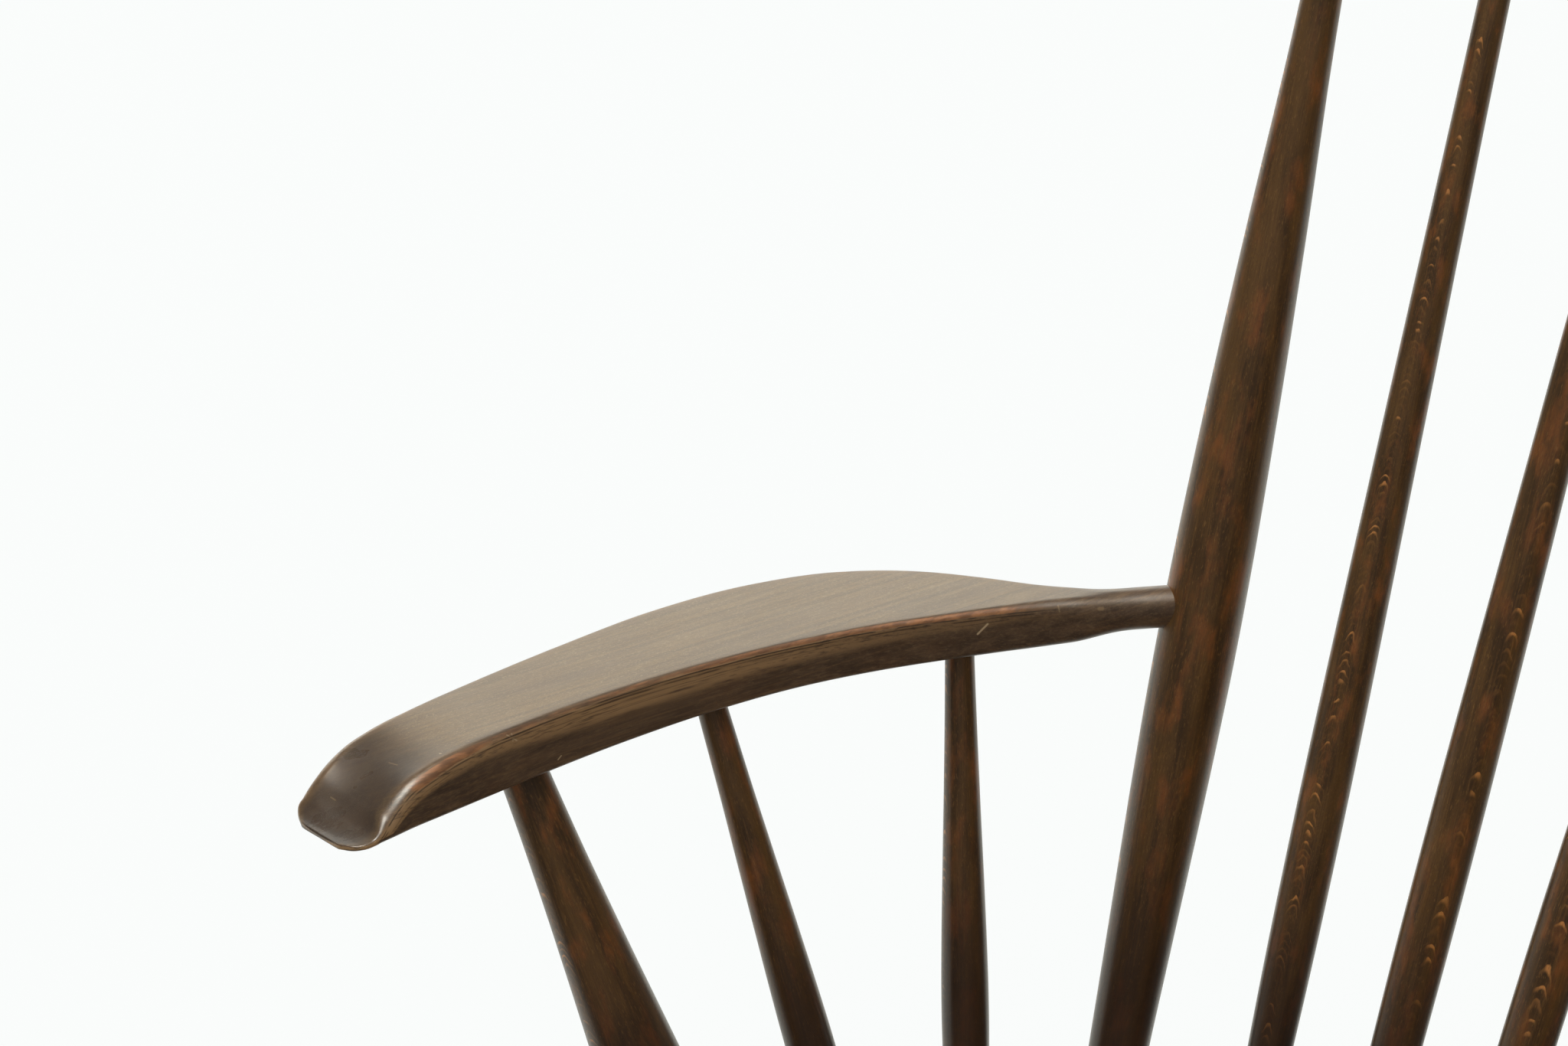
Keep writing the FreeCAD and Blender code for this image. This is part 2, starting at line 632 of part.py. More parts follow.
def arm_blade_shape():
    """The right arm's sculpted blade, lofted from the neck to the nose."""
    tenon_dia = size("arm_tenon_dia")
    neck = mirrored(arm_neck, RIGHT_SIDE)
    sections = []
    for forward, outward, heading, fullness, body, squareness, low_squareness, drop, dish, lean in ARM_SHARES:
        centre = Vec(neck.x - size("arm_reach") * outward, neck.y - size("arm_length") * forward, 0)
        turn = math.radians(heading)
        across = Vec(-math.cos(turn), math.sin(turn), 0)
        width = between(tenon_dia, size("arm_width"), fullness)
        thickness = between(tenon_dia, size("arm_thickness"), body)
        rounds = (between(tenon_dia / 2, size("arm_edge_round"), low_squareness),
                  between(tenon_dia / 2, size("arm_edge_round"), squareness))
        low, high = arm_top - thickness, arm_top - thickness * drop
        sections.append(rounded_section(centre, across, UP, width, low, high, rounds,
                                        thickness * dish, thickness * lean))
    return Part.makeLoft(sections, True, False)


def make_arms():
    forward = mirrored(arm_forward, RIGHT_SIDE)
    blade = document.addObject("Part::Feature", "arm_blade")
    blade.Shape = arm_blade_shape()
    blade.Placement = FreeCAD.Placement()
    tenon = document.addObject("Part::Cylinder", "arm_tenon")
    bind(tenon, "Radius", "%s / 2" % stated("arm_tenon_dia"))
    bind(tenon, "Height", "%s + %s - %s / 2 - %s" % (
        stated("arm_neck_length"), stated("arm_tenon_depth"), stated("post_swell_dia"),
        stated("socket_end_gap")))
    tenon.Placement = FreeCAD.Placement(mirrored(arm_neck, RIGHT_SIDE), FreeCAD.Rotation(UP, -forward))
    whole = document.addObject("Part::Fuse", "arm_whole")
    whole.Base = blade
    whole.Tool = tenon
    tools = []
    for place, (foot, top) in support_ends.items():
        dia = "arm_post_top_dia" if place == "post" else "support_top_dia"
        tools.append(socket("arm_%s_socket" % place, mirrored(top, RIGHT_SIDE),
                            mirrored(top - foot, RIGHT_SIDE), dia, "support_top_depth", "support_top_depth"))
    right = finish(cut("arm_right", whole, tools), "arm_right")
    left = document.addObject("Part::Mirroring", "arm_left_mirror")
    left.Source = right
    left.Normal = Vec(1, 0, 0)
    finish(left, "arm_left")


def make_back():
    for name, side in SIDES.items():
        post = turned("back_post_" + name, mirrored(post_foot, side), mirrored(post_top, side),
                      ("post_foot_dia", "post_top_dia"), ("post_foot_depth", "post_top_depth"),
                      "post_swell_dia", POST_SHARES)
        outward = mirrored(arm_forward, side)
        mouth = mirrored(arm_joint, side) + outward * (size("post_swell_dia") / 2)
        hole = socket("post_arm_socket_" + name, mouth, -outward, "arm_tenon_dia", "arm_tenon_depth")
        pin_hole = crest_pin("post_pin_hole_" + name, side, True)
        finish(cut("back_post_" + name, post, [hole, pin_hole]), "back_post_" + name)
    order = [("outer", RIGHT_SIDE), ("middle", RIGHT_SIDE), ("inner", RIGHT_SIDE),
             ("inner", LEFT_SIDE), ("middle", LEFT_SIDE), ("outer", LEFT_SIDE)]
    for number, (place, side) in enumerate(order, 1):
        foot, top = spindle_ends[place]
        label = "back_spindle_%d" % number
        finish(turned(label, mirrored(foot, side), mirrored(top, side),
                      ("spindle_foot_dia", "spindle_top_dia"), ("spindle_foot_depth", "spindle_top_depth"),
                      "spindle_swell_dia", SPINDLE_SHARES), label)


def pin(label, start, direction, dia, length, hole):
    """A round pin from start along direction, or the hole that it fills and leaves by."""
    thing = document.addObject("Part::Cylinder", label)
    direction = direction / direction.Length
    if hole:
        bind(thing, "Radius", "%s / 2 + %s" % (stated(dia), stated("socket_clearance")))
        bind(thing, "Height", "%s + %s" % (length, stated("overrun")))
    else:
        bind(thing, "Radius", "%s / 2" % stated(dia))
        bind(thing, "Height", length)
    thing.Placement = FreeCAD.Placement(start, FreeCAD.Rotation(UP, direction))
    return thing


def crest_pin(label, side, hole=False):
    """A pin through the top of a back post to the rail's rear face."""
    centre = at_height(mirrored(post_joint, side), mirrored(post_direction, side),
                       size("crest_height") + size("crest_pin_rise"))
    rearward = mirrored(crest_end_turn, side)
    start = centre - rearward * (size("post_top_dia") / 2)
    length = "(%s + %s) / 2" % (stated("post_top_dia"), stated("crest_thickness"))
    return pin(label, start, rearward, "crest_pin_dia", length, hole)


# The rail's path over the tops of the posts and spindles, on the left half from the middle out
crest_path = [spindle_ends["inner"][1], spindle_ends["middle"][1], spindle_ends["outer"][1], post_top]
crest_end_run = (crest_path[-1] - crest_path[-2]).normalize()
crest_path.append(crest_path[-1] + crest_end_run * size("crest_overhang"))
crest_end_turn = Vec(-crest_end_run.y, crest_end_run.x, 0)
crest_points = [mirrored(point, RIGHT_SIDE) for point in reversed(crest_path)] + crest_path


def make_crest():
    lean = math.radians(size("crest_lean_angle"))
    up = Vec(0, math.sin(lean), math.cos(lean))
    path = Part.BSplineCurve()
    path.interpolate(crest_points)
    middle = (path.FirstParameter + path.LastParameter) / 2
    rows = [(-along, low, high) for along, low, high in reversed(CREST_SHARES[1:])] + list(CREST_SHARES)
    sections = []
    for along, low, high in rows:
        parameter = middle + (path.LastParameter - middle) * along
        centre = path.value(parameter)
        run = path.tangent(parameter)[0]
        upright = (up - run * up.dot(run)).normalize()
        across = upright.cross(run)
        sections.append(rounded_section(centre, across, upright, size("crest_thickness"),
                                        size("crest_depth") * low, size("crest_depth") * high,
                                        (size("crest_edge_round"), size("crest_edge_round"))))
    rail = document.addObject("Part::Feature", "crest_board")
    rail.Shape = Part.makeLoft(sections, True, False)
    rail.Placement = FreeCAD.Placement()
    tools = []
    for name, side in SIDES.items():
        tools.append(socket("crest_post_socket_" + name, mirrored(post_top, side),
                            mirrored(post_direction, side), "post_top_dia", "post_top_depth"))
        for place, (foot, top) in spindle_ends.items():
            tools.append(socket("crest_%s_socket_%s" % (place, name), mirrored(top, side),
                                mirrored(top - foot, side), "spindle_top_dia", "spindle_top_depth"))
        tools.append(crest_pin("crest_pin_hole_" + name, side, True))
    finish(cut("crest_rail", rail, tools), "crest_rail")


def make_supports():
    for name, side in SIDES.items():
        for place, (foot, top) in support_ends.items():
            label = "arm_spindle_%s_%s" % (place, name)
            dias = ("support_foot_dia", "support_top_dia")
            swell = "support_swell_dia"
            shares = SUPPORT_SHARES
            if place == "post":
                label = "arm_post_" + name
                dias = ("arm_post_foot_dia", "arm_post_top_dia")
                swell = "arm_post_swell_dia"
                shares = ARM_POST_SHARES
            finish(turned(label, mirrored(foot, side), mirrored(top, side), dias,
                          ("support_foot_depth", "support_top_depth"), swell, shares), label)


def rocker_pin(label, place, side, hole=False):
    """A dowel across a rocker and the round foot of a leg."""
    foot, top = leg_ends[place]
    centre = at_height(mirrored(foot, side), mirrored(top - foot, side), foot.z - size("rocker_pin_drop"))
    centre.x = side * size("rocker_side")
    outward = Vec(side, 0, 0)
    start = centre - outward * (size("rocker_thickness") / 2 + (size("overrun") / 2 if hole else 0))
    return pin(label, start, outward, "rocker_pin_dia", stated("rocker_thickness"), hole)


def leg_wedge(label, place, side):
    """The wedge driven into the end of a leg, up to a little above the seat's top."""
    foot, top = leg_ends[place]
    wedge = document.addObject("Part::Wedge", label)
    half = "%s / 2" % stated("wedge_thickness")
    tip = "%s / 2" % stated("wedge_tip")
    width = "%s / 2" % stated("leg_top_dia")
    for path, expression in (("Xmin", "-" + half), ("Xmax", half), ("Zmin", "-" + width), ("Zmax", width),
                             ("X2min", "-" + tip), ("X2max", tip), ("Z2min", "-" + width), ("Z2max", width),
                             ("Ymin", "-" + width), ("Ymax", stated("wedge_depth"))):
        bind(wedge, path, expression)
    down = mirrored(foot - top, side)
    rearward = seat_rotation.multVec(Vec(0, 1, 0))
    wedge.Placement = FreeCAD.Placement(mirrored(top, side),
                                        FreeCAD.Rotation(down.cross(rearward), down, rearward, "YZX"))
    return wedge


def make_legs():
    above = document.addObject("Part::Box", "above_seat")
    bind(above, "Length", stated("seat_front_width"))
    bind(above, "Width", "2 * %s" % stated("seat_depth"))
    bind(above, "Height", "2 * %s" % stated("overrun"))
    above.Placement = seat_placement.multiply(FreeCAD.Placement(
        Vec(-size("seat_front_width") / 2, -size("seat_depth"), 0), FreeCAD.Rotation()))
    wedges = []
    for place, (foot, top) in leg_ends.items():
        for name, side in SIDES.items():
            label = "%s_leg_%s" % (place, name)
            leg = turned(label, mirrored(foot, side), mirrored(leg_shoulders[place], side),
                         ("leg_foot_dia", "leg_top_dia"), ("leg_foot_depth", "leg_top_depth"),
                         "leg_swell_dia", LEG_SHARES)
            mouth, inward = ((stretcher_ends[0], -stretcher_run) if place == "front"
                             else (stretcher_ends[1], stretcher_run))
            hole = socket(label + "_stretcher_hole", mirrored(mouth, side), mirrored(inward, side),
                          "stretcher_end_dia", "stretcher_end_depth")
            finish(cut(label, leg, [above, hole, rocker_pin(label + "_pin_hole", place, side, True),
                                    leg_wedge(label + "_kerf", place, side)]), label)
            down = mirrored(foot - top, side).normalize()
            bore = pin(label + "_wedge_round", mirrored(top, side) - down * size("wedge_depth"), down,
                       "leg_top_dia", "2 * %s" % stated("wedge_depth"), False)
            rounded = document.addObject("Part::Common", label + "_wedge_rounded")
            rounded.Base = leg_wedge(label + "_wedge", place, side)
            rounded.Tool = bore
            wedges.append(cut(label + "_wedge_flush", rounded, [above]))
    group = document.addObject("Part::Compound", "wedges")
    group.Links = wedges
    finish(group, "leg_wedges")


def make_stretchers():
    ends = ("stretcher_end_dia", "stretcher_end_dia")
    for name, side in SIDES.items():
        label = "side_stretcher_" + name
        rail = turned(label, mirrored(stretcher_ends[0], side), mirrored(stretcher_ends[1], side), ends,
                      ("stretcher_end_depth", "stretcher_end_depth"), "stretcher_swell_dia",
                      STRETCHER_SHARES)
        hole = socket(label + "_hole", mirrored(cross_end, side), Vec(side, 0, 0),
                      "stretcher_end_dia", "cross_end_depth", "cross_end_depth")
        finish(cut(label, rail, [hole]), label)
    finish(turned("cross_stretcher", mirrored(cross_end, RIGHT_SIDE), cross_end, ends,
                  ("cross_end_depth", "cross_end_depth"), "stretcher_swell_dia", STRETCHER_SHARES),
           "cross_stretcher")


def along_x(edge):
    ends = [vertex.Point for vertex in edge.Vertexes]
    return abs(ends[0].x - ends[-1].x) > size("rocker_thickness") / 2


def make_rockers():
    top_radius_cell = worked_out("rocker_top_radius", rocker_top_radius)
    for name, side in SIDES.items():
        label = "rocker_" + name
        body = document.addObject("PartDesign::Body", label + "_board")
        sketch = body.newObject("Sketcher::SketchObject", label + "_outline")
        sketch.AttachmentSupport = (origin_plane(body, "YZ_Plane"), "")
        sketch.MapMode = "FlatFace"
        front_low = Vec(-rocker_half, rocker_bottom(-rocker_half), 0)
        rear_low = Vec(rocker_half, rocker_bottom(rocker_half), 0)
        lowest = Vec(size("rocker_contact"), 0, 0)
        running, rear_end, upper, front_end = sketch.addGeometry([
            Part.Arc(front_low, lowest, rear_low), Part.LineSegment(rear_low, rear_tip),
            Part.Arc(front_tip, top_middle, rear_tip), Part.LineSegment(front_tip, front_low)], False)
        # Arcs run counter-clockwise: both start at the front end
        for first, at_end, second, at_start in (
                (running, END, rear_end, START), (rear_end, END, upper, END),
                (upper, START, front_end, START), (front_end, END, running, START)):
            sketch.addConstraint(Sketcher.Constraint("Coincident", first, at_end, second, at_start))
        for line in (rear_end, front_end):
            sketch.addConstraint(Sketcher.Constraint("Vertical", line))
        half_cell = "%s / 2" % stated("rocker_length")
        constrain(sketch, half_cell, "DistanceX", ORIGIN, START, rear_end, START, rocker_half)
        constrain(sketch, half_cell, "DistanceX", front_end, START, ORIGIN, START, rocker_half)
        constrain(sketch, stated("rocker_radius"), "Radius", running, size("rocker_radius"))
        constrain(sketch, stated("rocker_radius"), "DistanceY", ORIGIN, START, running, CENTRE,
                  size("rocker_radius"))
        constrain(sketch, stated("rocker_contact"), "DistanceX", ORIGIN, START, running, CENTRE,
                  size("rocker_contact"))
        for line, low_point, high_point in ((rear_end, START, END), (front_end, END, START)):
            constrain(sketch, stated("rocker_end_depth"), "DistanceY", line, low_point, line, high_point,
                      size("rocker_end_depth"))
        constrain(sketch, top_radius_cell, "Radius", upper, rocker_top_radius)
        pad = body.newObject("PartDesign::Pad", label + "_pad")
        pad.Profile = sketch
        pad.Midplane = True
        bind(pad, "Length", stated("rocker_thickness"))
        document.recompute()

        noses = body.newObject("PartDesign::Fillet", label + "_noses")
        noses.Base = (pad, edge_names(pad.Shape, along_x))
        bind(noses, "Radius", stated("rocker_nose_round"))
        document.recompute()
        edges = body.newObject("PartDesign::Fillet", label + "_edges")
        edges.Base = (noses, edge_names(noses.Shape, lambda edge: not along_x(edge)))
        bind(edges, "Radius", stated("rocker_edge_round"))
        body.Tip = edges
        body.Placement = FreeCAD.Placement(Vec(side * size("rocker_side"), 0, 0), FreeCAD.Rotation())
        tools = []
        for place, (foot, top) in leg_ends.items():
            tools.append(socket("%s_%s_leg_socket" % (label, place), mirrored(foot, side),
                                mirrored(foot - top, side), "leg_foot_dia", "leg_foot_depth"))
            tools.append(rocker_pin("%s_%s_pin_hole" % (label, place), place, side, True))
        finish(cut(label, body, tools), label)


def make_pins():
    dowels = [rocker_pin("%s_dowel_%s" % (place, name), place, side)
              for place in leg_ends for name, side in SIDES.items()]
    small = [crest_pin("crest_dowel_" + name, side) for name, side in SIDES.items()]
    for label, members in (("rocker_pins", dowels), ("crest_pins", small)):
        group = document.addObject("Part::Compound", label + "_group")
        group.Links = members
        finish(group, label)


make_seat()
make_back()
make_crest()
make_arms()
make_supports()
make_legs()
make_stretchers()
make_rockers()
make_pins()
document.recompute()

for thing in document.Objects:
    if "Invalid" in thing.State or "Error" in thing.State:
        raise RuntimeError("%s failed: %s" % (thing.Label, thing.State))
for label, thing in pieces.items():
    if thing.Shape.isNull() or not thing.Shape.isValid() or not thing.Shape.Solids:
        raise RuntimeError("%s has no valid solid" % label)

os.makedirs("parts", exist_ok=True)
for label, thing in pieces.items():
    thing.Shape.exportStep("parts/%s.step" % label)
    print(label, len(thing.Shape.Solids), round(thing.Shape.Volume))
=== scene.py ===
import math
import bpy
import numpy as np
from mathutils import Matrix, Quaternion, Vector, noise
from mathutils.bvhtree import BVHTree


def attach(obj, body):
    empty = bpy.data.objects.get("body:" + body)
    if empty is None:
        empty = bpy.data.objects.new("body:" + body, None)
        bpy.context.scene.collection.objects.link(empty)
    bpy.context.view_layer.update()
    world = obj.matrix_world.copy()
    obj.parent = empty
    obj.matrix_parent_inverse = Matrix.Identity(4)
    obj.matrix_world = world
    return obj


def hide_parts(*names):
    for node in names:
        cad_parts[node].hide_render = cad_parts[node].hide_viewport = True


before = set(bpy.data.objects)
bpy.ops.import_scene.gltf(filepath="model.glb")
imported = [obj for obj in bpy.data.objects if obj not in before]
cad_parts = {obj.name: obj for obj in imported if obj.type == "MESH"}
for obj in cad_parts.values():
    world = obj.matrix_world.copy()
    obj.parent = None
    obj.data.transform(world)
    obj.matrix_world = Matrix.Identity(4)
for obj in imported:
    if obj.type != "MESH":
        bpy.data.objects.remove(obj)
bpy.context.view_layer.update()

# A spindle-back rocking chair in dark stained beech under satin lacquer.
# Metres. +Z up, X to the sitter's left, the chair faces -Y.

MM = 0.001
BODY = "root"
SIDES = {"right": -1, "left": 1}

# The camera: place, view, roll and focal length
PHOTO_SIZE = (2048, 1366)
FOCAL_PIXELS = 3202.94
SENSOR_WIDTH_MM = 36.0
CAMERA_PLACE = Vector((0.4591, -0.496236, 1.042045))
CAMERA_VIEW = Vector((-0.78859278, 0.47487104, -0.39066472))
CAMERA_ROLL = math.radians(-2.76)
CAMERA_CLIP = (0.01, 60.0)
CAMERA_TURN = CAMERA_VIEW.to_track_quat("-Z", "Y") @ Quaternion((0, 0, 1), CAMERA_ROLL)

# How far a dressed surface lies inside its solid, so that pins and wedges stand just proud of it
SKIN = 0.05 * MM
SHARP_ANGLE = math.radians(50)
# How far apart in the noise two seeds lie
SEED_SHIFT = (3.17, 1.71, 2.39)


def smooth_through(known, values, wanted):
    """A smooth curve through values at known places, read at the wanted places."""
    known = np.asarray(known, float)
    values = np.asarray(values, float)
    slopes = np.gradient(values, known, axis=0)
    wanted = np.clip(np.asarray(wanted, float), known[0], known[-1])
    cell = np.clip(np.searchsorted(known, wanted, side="right") - 1, 0, len(known) - 2)
    width = known[cell + 1] - known[cell]
    part = (wanted - known[cell]) / width
    if values.ndim > 1:
        width = width[:, None]
        part = part[:, None]
    square = part * part
    cube = square * part
    return ((2 * cube - 3 * square + 1) * values[cell] + (cube - 2 * square + part) * width * slopes[cell]
            + (3 * square - 2 * cube) * values[cell + 1] + (cube - square) * width * slopes[cell + 1])


def unit(vector):
    vector = np.asarray(vector, float)
    return vector / np.linalg.norm(vector, axis=-1, keepdims=True)


def fade(value, low, high):
    """0 at low, 1 at high, smooth between."""
    part = np.clip((value - low) / (high - low), 0, 1)
    return part * part * (3 - 2 * part)


def rough_noise(points, cell, seed):
    """Soft noise from about -1 to 1 at each point, with features about a cell in size."""
    shift = Vector([seed * step for step in SEED_SHIFT])
    return np.array([noise.noise(Vector(point) / cell + shift) for point in points])


def hand_work(rings, waves, seed, step=1):
    """How far hand work leaves each point of the rings out of true: waves are pairs of size and height."""
    flat = rings.reshape(-1, 3)
    heights = sum(rough_noise(flat, cell, seed + step * number) * height
                  for number, (cell, height) in enumerate(waves))
    return heights.reshape(rings.shape[:2])


def outward_from(rings):
    """The direction from the middle of its ring to each point."""
    return unit(rings - rings.mean(1, keepdims=True))


def ray_tree(mesh):
    return BVHTree.FromPolygons([tuple(vertex.co) for vertex in mesh.vertices],
                                [tuple(face.vertices) for face in mesh.polygons])


def signed_volume(points, faces):
    """Six times the volume inside the faces, negative where they face inward."""
    corners = [(face[0], face[step], face[step + 1]) for face in faces for step in range(1, len(face) - 1)]
    a, b, c = (points[column] for column in np.array(corners).T)
    return np.einsum("ij,ij->i", a, np.cross(b, c)).sum()


def add_object(name, data):
    made = bpy.data.objects.new(name, data)
    bpy.context.scene.collection.objects.link(made)
    return made


def add_mesh(name, points, faces):
    mesh = bpy.data.meshes.new(name)
    mesh.from_pydata(points.tolist(), [], faces)
    if signed_volume(points, faces) < 0:
        mesh.flip_normals()
    return add_object(name, mesh)


def smooth_shading(mesh):
    mesh.polygons.foreach_set("use_smooth", [True] * len(mesh.polygons))
    mesh.set_sharp_from_angle(angle=SHARP_ANGLE)


def with_ends(values):
    """The values at all rings' points in one list, then the means of the first and the last ring."""
    flat = values.reshape(-1, *values.shape[2:])
    return np.concatenate([flat, [values[0].mean(0), values[-1].mean(0)]])


def ringed_mesh(name, rings, grain, masks):
    """A closed mesh through rings of points, with the wood's own coordinates and masks at its points.

    rings and grain are arrays of rings by points by 3, masks is a dictionary of arrays of rings by points.
    """
    count, around = rings.shape[:2]
    ring, spot = np.meshgrid(np.arange(count - 1), np.arange(around), indexing="ij")
    after = (spot + 1) % around
    faces = np.stack([ring * around + spot, ring * around + after,
                      (ring + 1) * around + after, (ring + 1) * around + spot], -1).reshape(-1, 4).tolist()
    for centre, end in ((count * around, 0), (count * around + 1, count - 1)):
        for start in range(around):
            pair = [end * around + start, end * around + (start + 1) % around]
            faces.append([centre] + (pair[::-1] if end == 0 else pair))
    piece = add_mesh(name, with_ends(rings), faces)
    store = piece.data.attributes.new("grain", "FLOAT_VECTOR", "POINT")
    store.data.foreach_set("vector", with_ends(grain).astype(np.float32).reshape(-1))
    for key, value in masks.items():
        store = piece.data.attributes.new(key, "FLOAT", "POINT")
        store.data.foreach_set("value", with_ends(value).astype(np.float32))
    smooth_shading(piece.data)
    return piece


def dress(piece, material, slot_name, *nodes):
    """Gives a finished piece its material and puts it in the place of its CAD nodes."""
    piece.data.materials.append(material)
    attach(piece, BODY)
    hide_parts(*nodes)
    return piece


# Turned pieces, lathed again from the axis and profile of their CAD nodes
RING_STEP = 0.003
END_BEVEL = 0.0006
# The axis joins the centres of the two ends, each found from the outermost points of its band
END_BAND = 0.009
SECTORS = 32
AXIS_PASSES = 4
# The profile comes from heights at which the CAD mesh has a whole ring of points
PROFILE_STEP = 0.25 * MM
ROUND_TOLERANCE = 0.04 * MM
RING_POINTS = 12
# Waves left by hand sanding, as size and height
TURNED_WAVES = ((0.045, 0.06 * MM), (0.016, 0.025 * MM))
# Each piece is cut from another stretch of the same wood
GRAIN_SHIFT = 0.731
# Heights between which the painted shade of the lower ends fades out
PAINTED_SHADE_HEIGHTS = (0.05, 0.20)


def circle_centre(points, direction, side, rise):
    """Centre of the round end on which the outermost points lie."""
    flat = np.stack([points @ side, points @ rise], -1)
    offset = flat - (flat.max(0) + flat.min(0)) / 2
    turn = np.arctan2(offset[:, 1], offset[:, 0]) / (2 * math.pi) + 0.5
    sector = np.floor(turn * SECTORS).astype(int)
    reach = np.hypot(offset[:, 0], offset[:, 1])
    outer = []
    for number in range(SECTORS):
        inside = np.flatnonzero(sector == number)
        if len(inside):
            outer.append(flat[inside[reach[inside].argmax()]])
    outer = np.array(outer)
    system = np.column_stack([2 * outer, np.ones(len(outer))])
    across, up, _ = np.linalg.lstsq(system, (outer ** 2).sum(1), rcond=None)[0]
    return side * across + rise * up + direction * (points @ direction).mean()


def node_points(node):
    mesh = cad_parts[node].data
    points = np.zeros(len(mesh.vertices) * 3)
    mesh.vertices.foreach_get("co", points)
    return points.reshape(-1, 3)


def cross_axes(direction, outward):
    """Two directions across an axis, the first of them on the outward side."""
    side = unit(outward - direction * (outward @ direction))
    return side, np.cross(direction, side)


def turned_form(node):
    """Lower end, axis, side and rise directions, profile and length of a turned CAD node."""
    points = node_points(node)
    direction = np.linalg.svd(points - points.mean(0), full_matrices=False)[2][0]
    direction = direction * np.sign(direction[np.abs(direction).argmax()])
    outward = np.array(CAMERA_PLACE) - points.mean(0)
    for _ in range(AXIS_PASSES):
        side, rise = cross_axes(direction, outward)
        height = points @ direction
        low = circle_centre(points[height < height.min() + END_BAND], direction, side, rise)
        high = circle_centre(points[height > height.max() - END_BAND], direction, side, rise)
        direction = unit(high - low)
    side, rise = cross_axes(direction, outward)
    start = low - direction * ((low @ direction) - height.min())
    local = points - start
    height = local @ direction
    radius = np.linalg.norm(local - np.outer(height, direction), axis=1)
    bins = np.round(height / PROFILE_STEP).astype(int)
    profile = []
    for number in np.unique(bins):
        inside = bins == number
        outermost = radius[inside].max()
        on_ring = inside & (radius > outermost - ROUND_TOLERANCE)
        if on_ring.sum() >= RING_POINTS:
            profile.append((height[on_ring].mean(), outermost))
    return start, direction, side, rise, np.array(profile), height.max()


def turn_piece(node, form, around, material, seed, spin=0.0, fineness=1.0, level=None, painted_shade=False):
    """A turned piece: its own rings along the axis, a little out of true as hand sanding leaves it.

    spin turns the heart of the wood away from the camera's side, and fineness is how close its grain
    is. level is a plane, as a point and a normal, at which the upper end is cut flush. The last argument
    says that shade is painted on, darker towards the lower end.
    """
    start, direction, side, rise, profile, length = form
    inner = np.arange(RING_STEP, length - RING_STEP / 2, RING_STEP)
    heights = np.concatenate([[0, END_BEVEL], inner, [length - END_BEVEL, length]])
    radii = smooth_through(profile[:, 0], profile[:, 1], heights)
    radii[0] -= END_BEVEL
    if level is None:
        radii[-1] -= END_BEVEL
    angles = np.arange(around) * 2 * math.pi / around
    spokes = np.outer(np.cos(angles), side) + np.outer(np.sin(angles), rise)
    centres = start + np.outer(heights, direction)
    rings = centres[:, None, :] + radii[:, None, None] * spokes[None, :, :]
    rings = rings + (hand_work(rings, TURNED_WAVES, seed) - SKIN)[:, :, None] * spokes[None, :, :]
    if level is not None:
        place, normal = (np.array(value) for value in level)
        above = (rings - place) @ normal + SKIN
        rings = rings - np.where(above > 0, above, 0)[:, :, None] * direction / (direction @ normal)
    turned = angles + spin
    grain = np.stack([radii[:, None] * np.cos(turned)[None, :], radii[:, None] * np.sin(turned)[None, :],
                      np.repeat(heights[:, None] + seed * GRAIN_SHIFT, around, 1)], -1)
    # Painted shade, darker towards the lower end
    stain = np.repeat((1 - fade(heights, *PAINTED_SHADE_HEIGHTS))[:, None] * float(painted_shade), around, 1)
    piece = ringed_mesh("turned_" + node, rings, grain * fineness, {"painted_shade": stain})
    return dress(piece, material, "turned_wood", node)


# Rounded four-sided sections: points on the flats, corners and walls, in order round the section
SECTION_KEYS = ("flat", "corner", "wall", "corner", "flat", "corner", "wall", "corner")
BOTTOM, LOW_OUTER, OUTER_WALL, HIGH_OUTER, TOP, HIGH_INNER, INNER_WALL, LOW_INNER = range(len(SECTION_KEYS))
SECTION_COUNTS = {"flat": 34, "corner": 10, "wall": 16}
SECTION_POINTS = sum(SECTION_COUNTS[key] for key in SECTION_KEYS)
ROUND_ANGLE = math.radians(22)
# The most of a side that its corners take up, and the points by which masks of edges and top spread
ROUND_LIMIT_SHARE = 0.49
WALL_LIMIT_SHARE = 0.95
ARRIS_SPREAD = 3
TOP_SPREAD = 2


def section_points(width, low, high, rounds, dish=0.0, lean=0.0):
    """A rounded four-sided section as (across, up) pairs, from the inner end of its bottom outward.

    rounds gives the radii of the lower outer, upper outer, upper inner and lower inner corners.
    lean is how much lower the inner edge of the top lies.
    """
    half = width / 2
    inner_high = high - lean
    low_outer, high_outer, high_inner, low_inner = rounds
    flat = np.linspace(0, 1, SECTION_COUNTS["flat"], endpoint=False)
    turn = np.linspace(0, 1, SECTION_COUNTS["corner"], endpoint=False) * math.pi / 2
    wall = np.linspace(0, 1, SECTION_COUNTS["wall"], endpoint=False)

    def line(start, end, parts):
        return np.outer(1 - parts, start) + np.outer(parts, end)

    def corner(across, up, radius, from_angle):
        return np.column_stack([across + radius * np.cos(from_angle + turn),
                                up + radius * np.sin(from_angle + turn)])

    top = line((half - high_outer, high), (high_inner - half, inner_high), flat)
    top[:, 1] -= dish * (1 - (2 * flat - 1) ** 2)
    return np.vstack([
        line((low_inner - half, low), (half - low_outer, low), flat),
        corner(half - low_outer, low + low_outer, low_outer, -math.pi / 2),
        line((half, low + low_outer), (half, high - high_outer), wall),
        corner(half - high_outer, high - high_outer, high_outer, 0),
        top,
        corner(high_inner - half, inner_high - high_inner, high_inner, math.pi / 2),
        line((-half, inner_high - high_inner), (-half, low + low_inner), wall),
        corner(low_inner - half, low + low_inner, low_inner, math.pi),
    ])


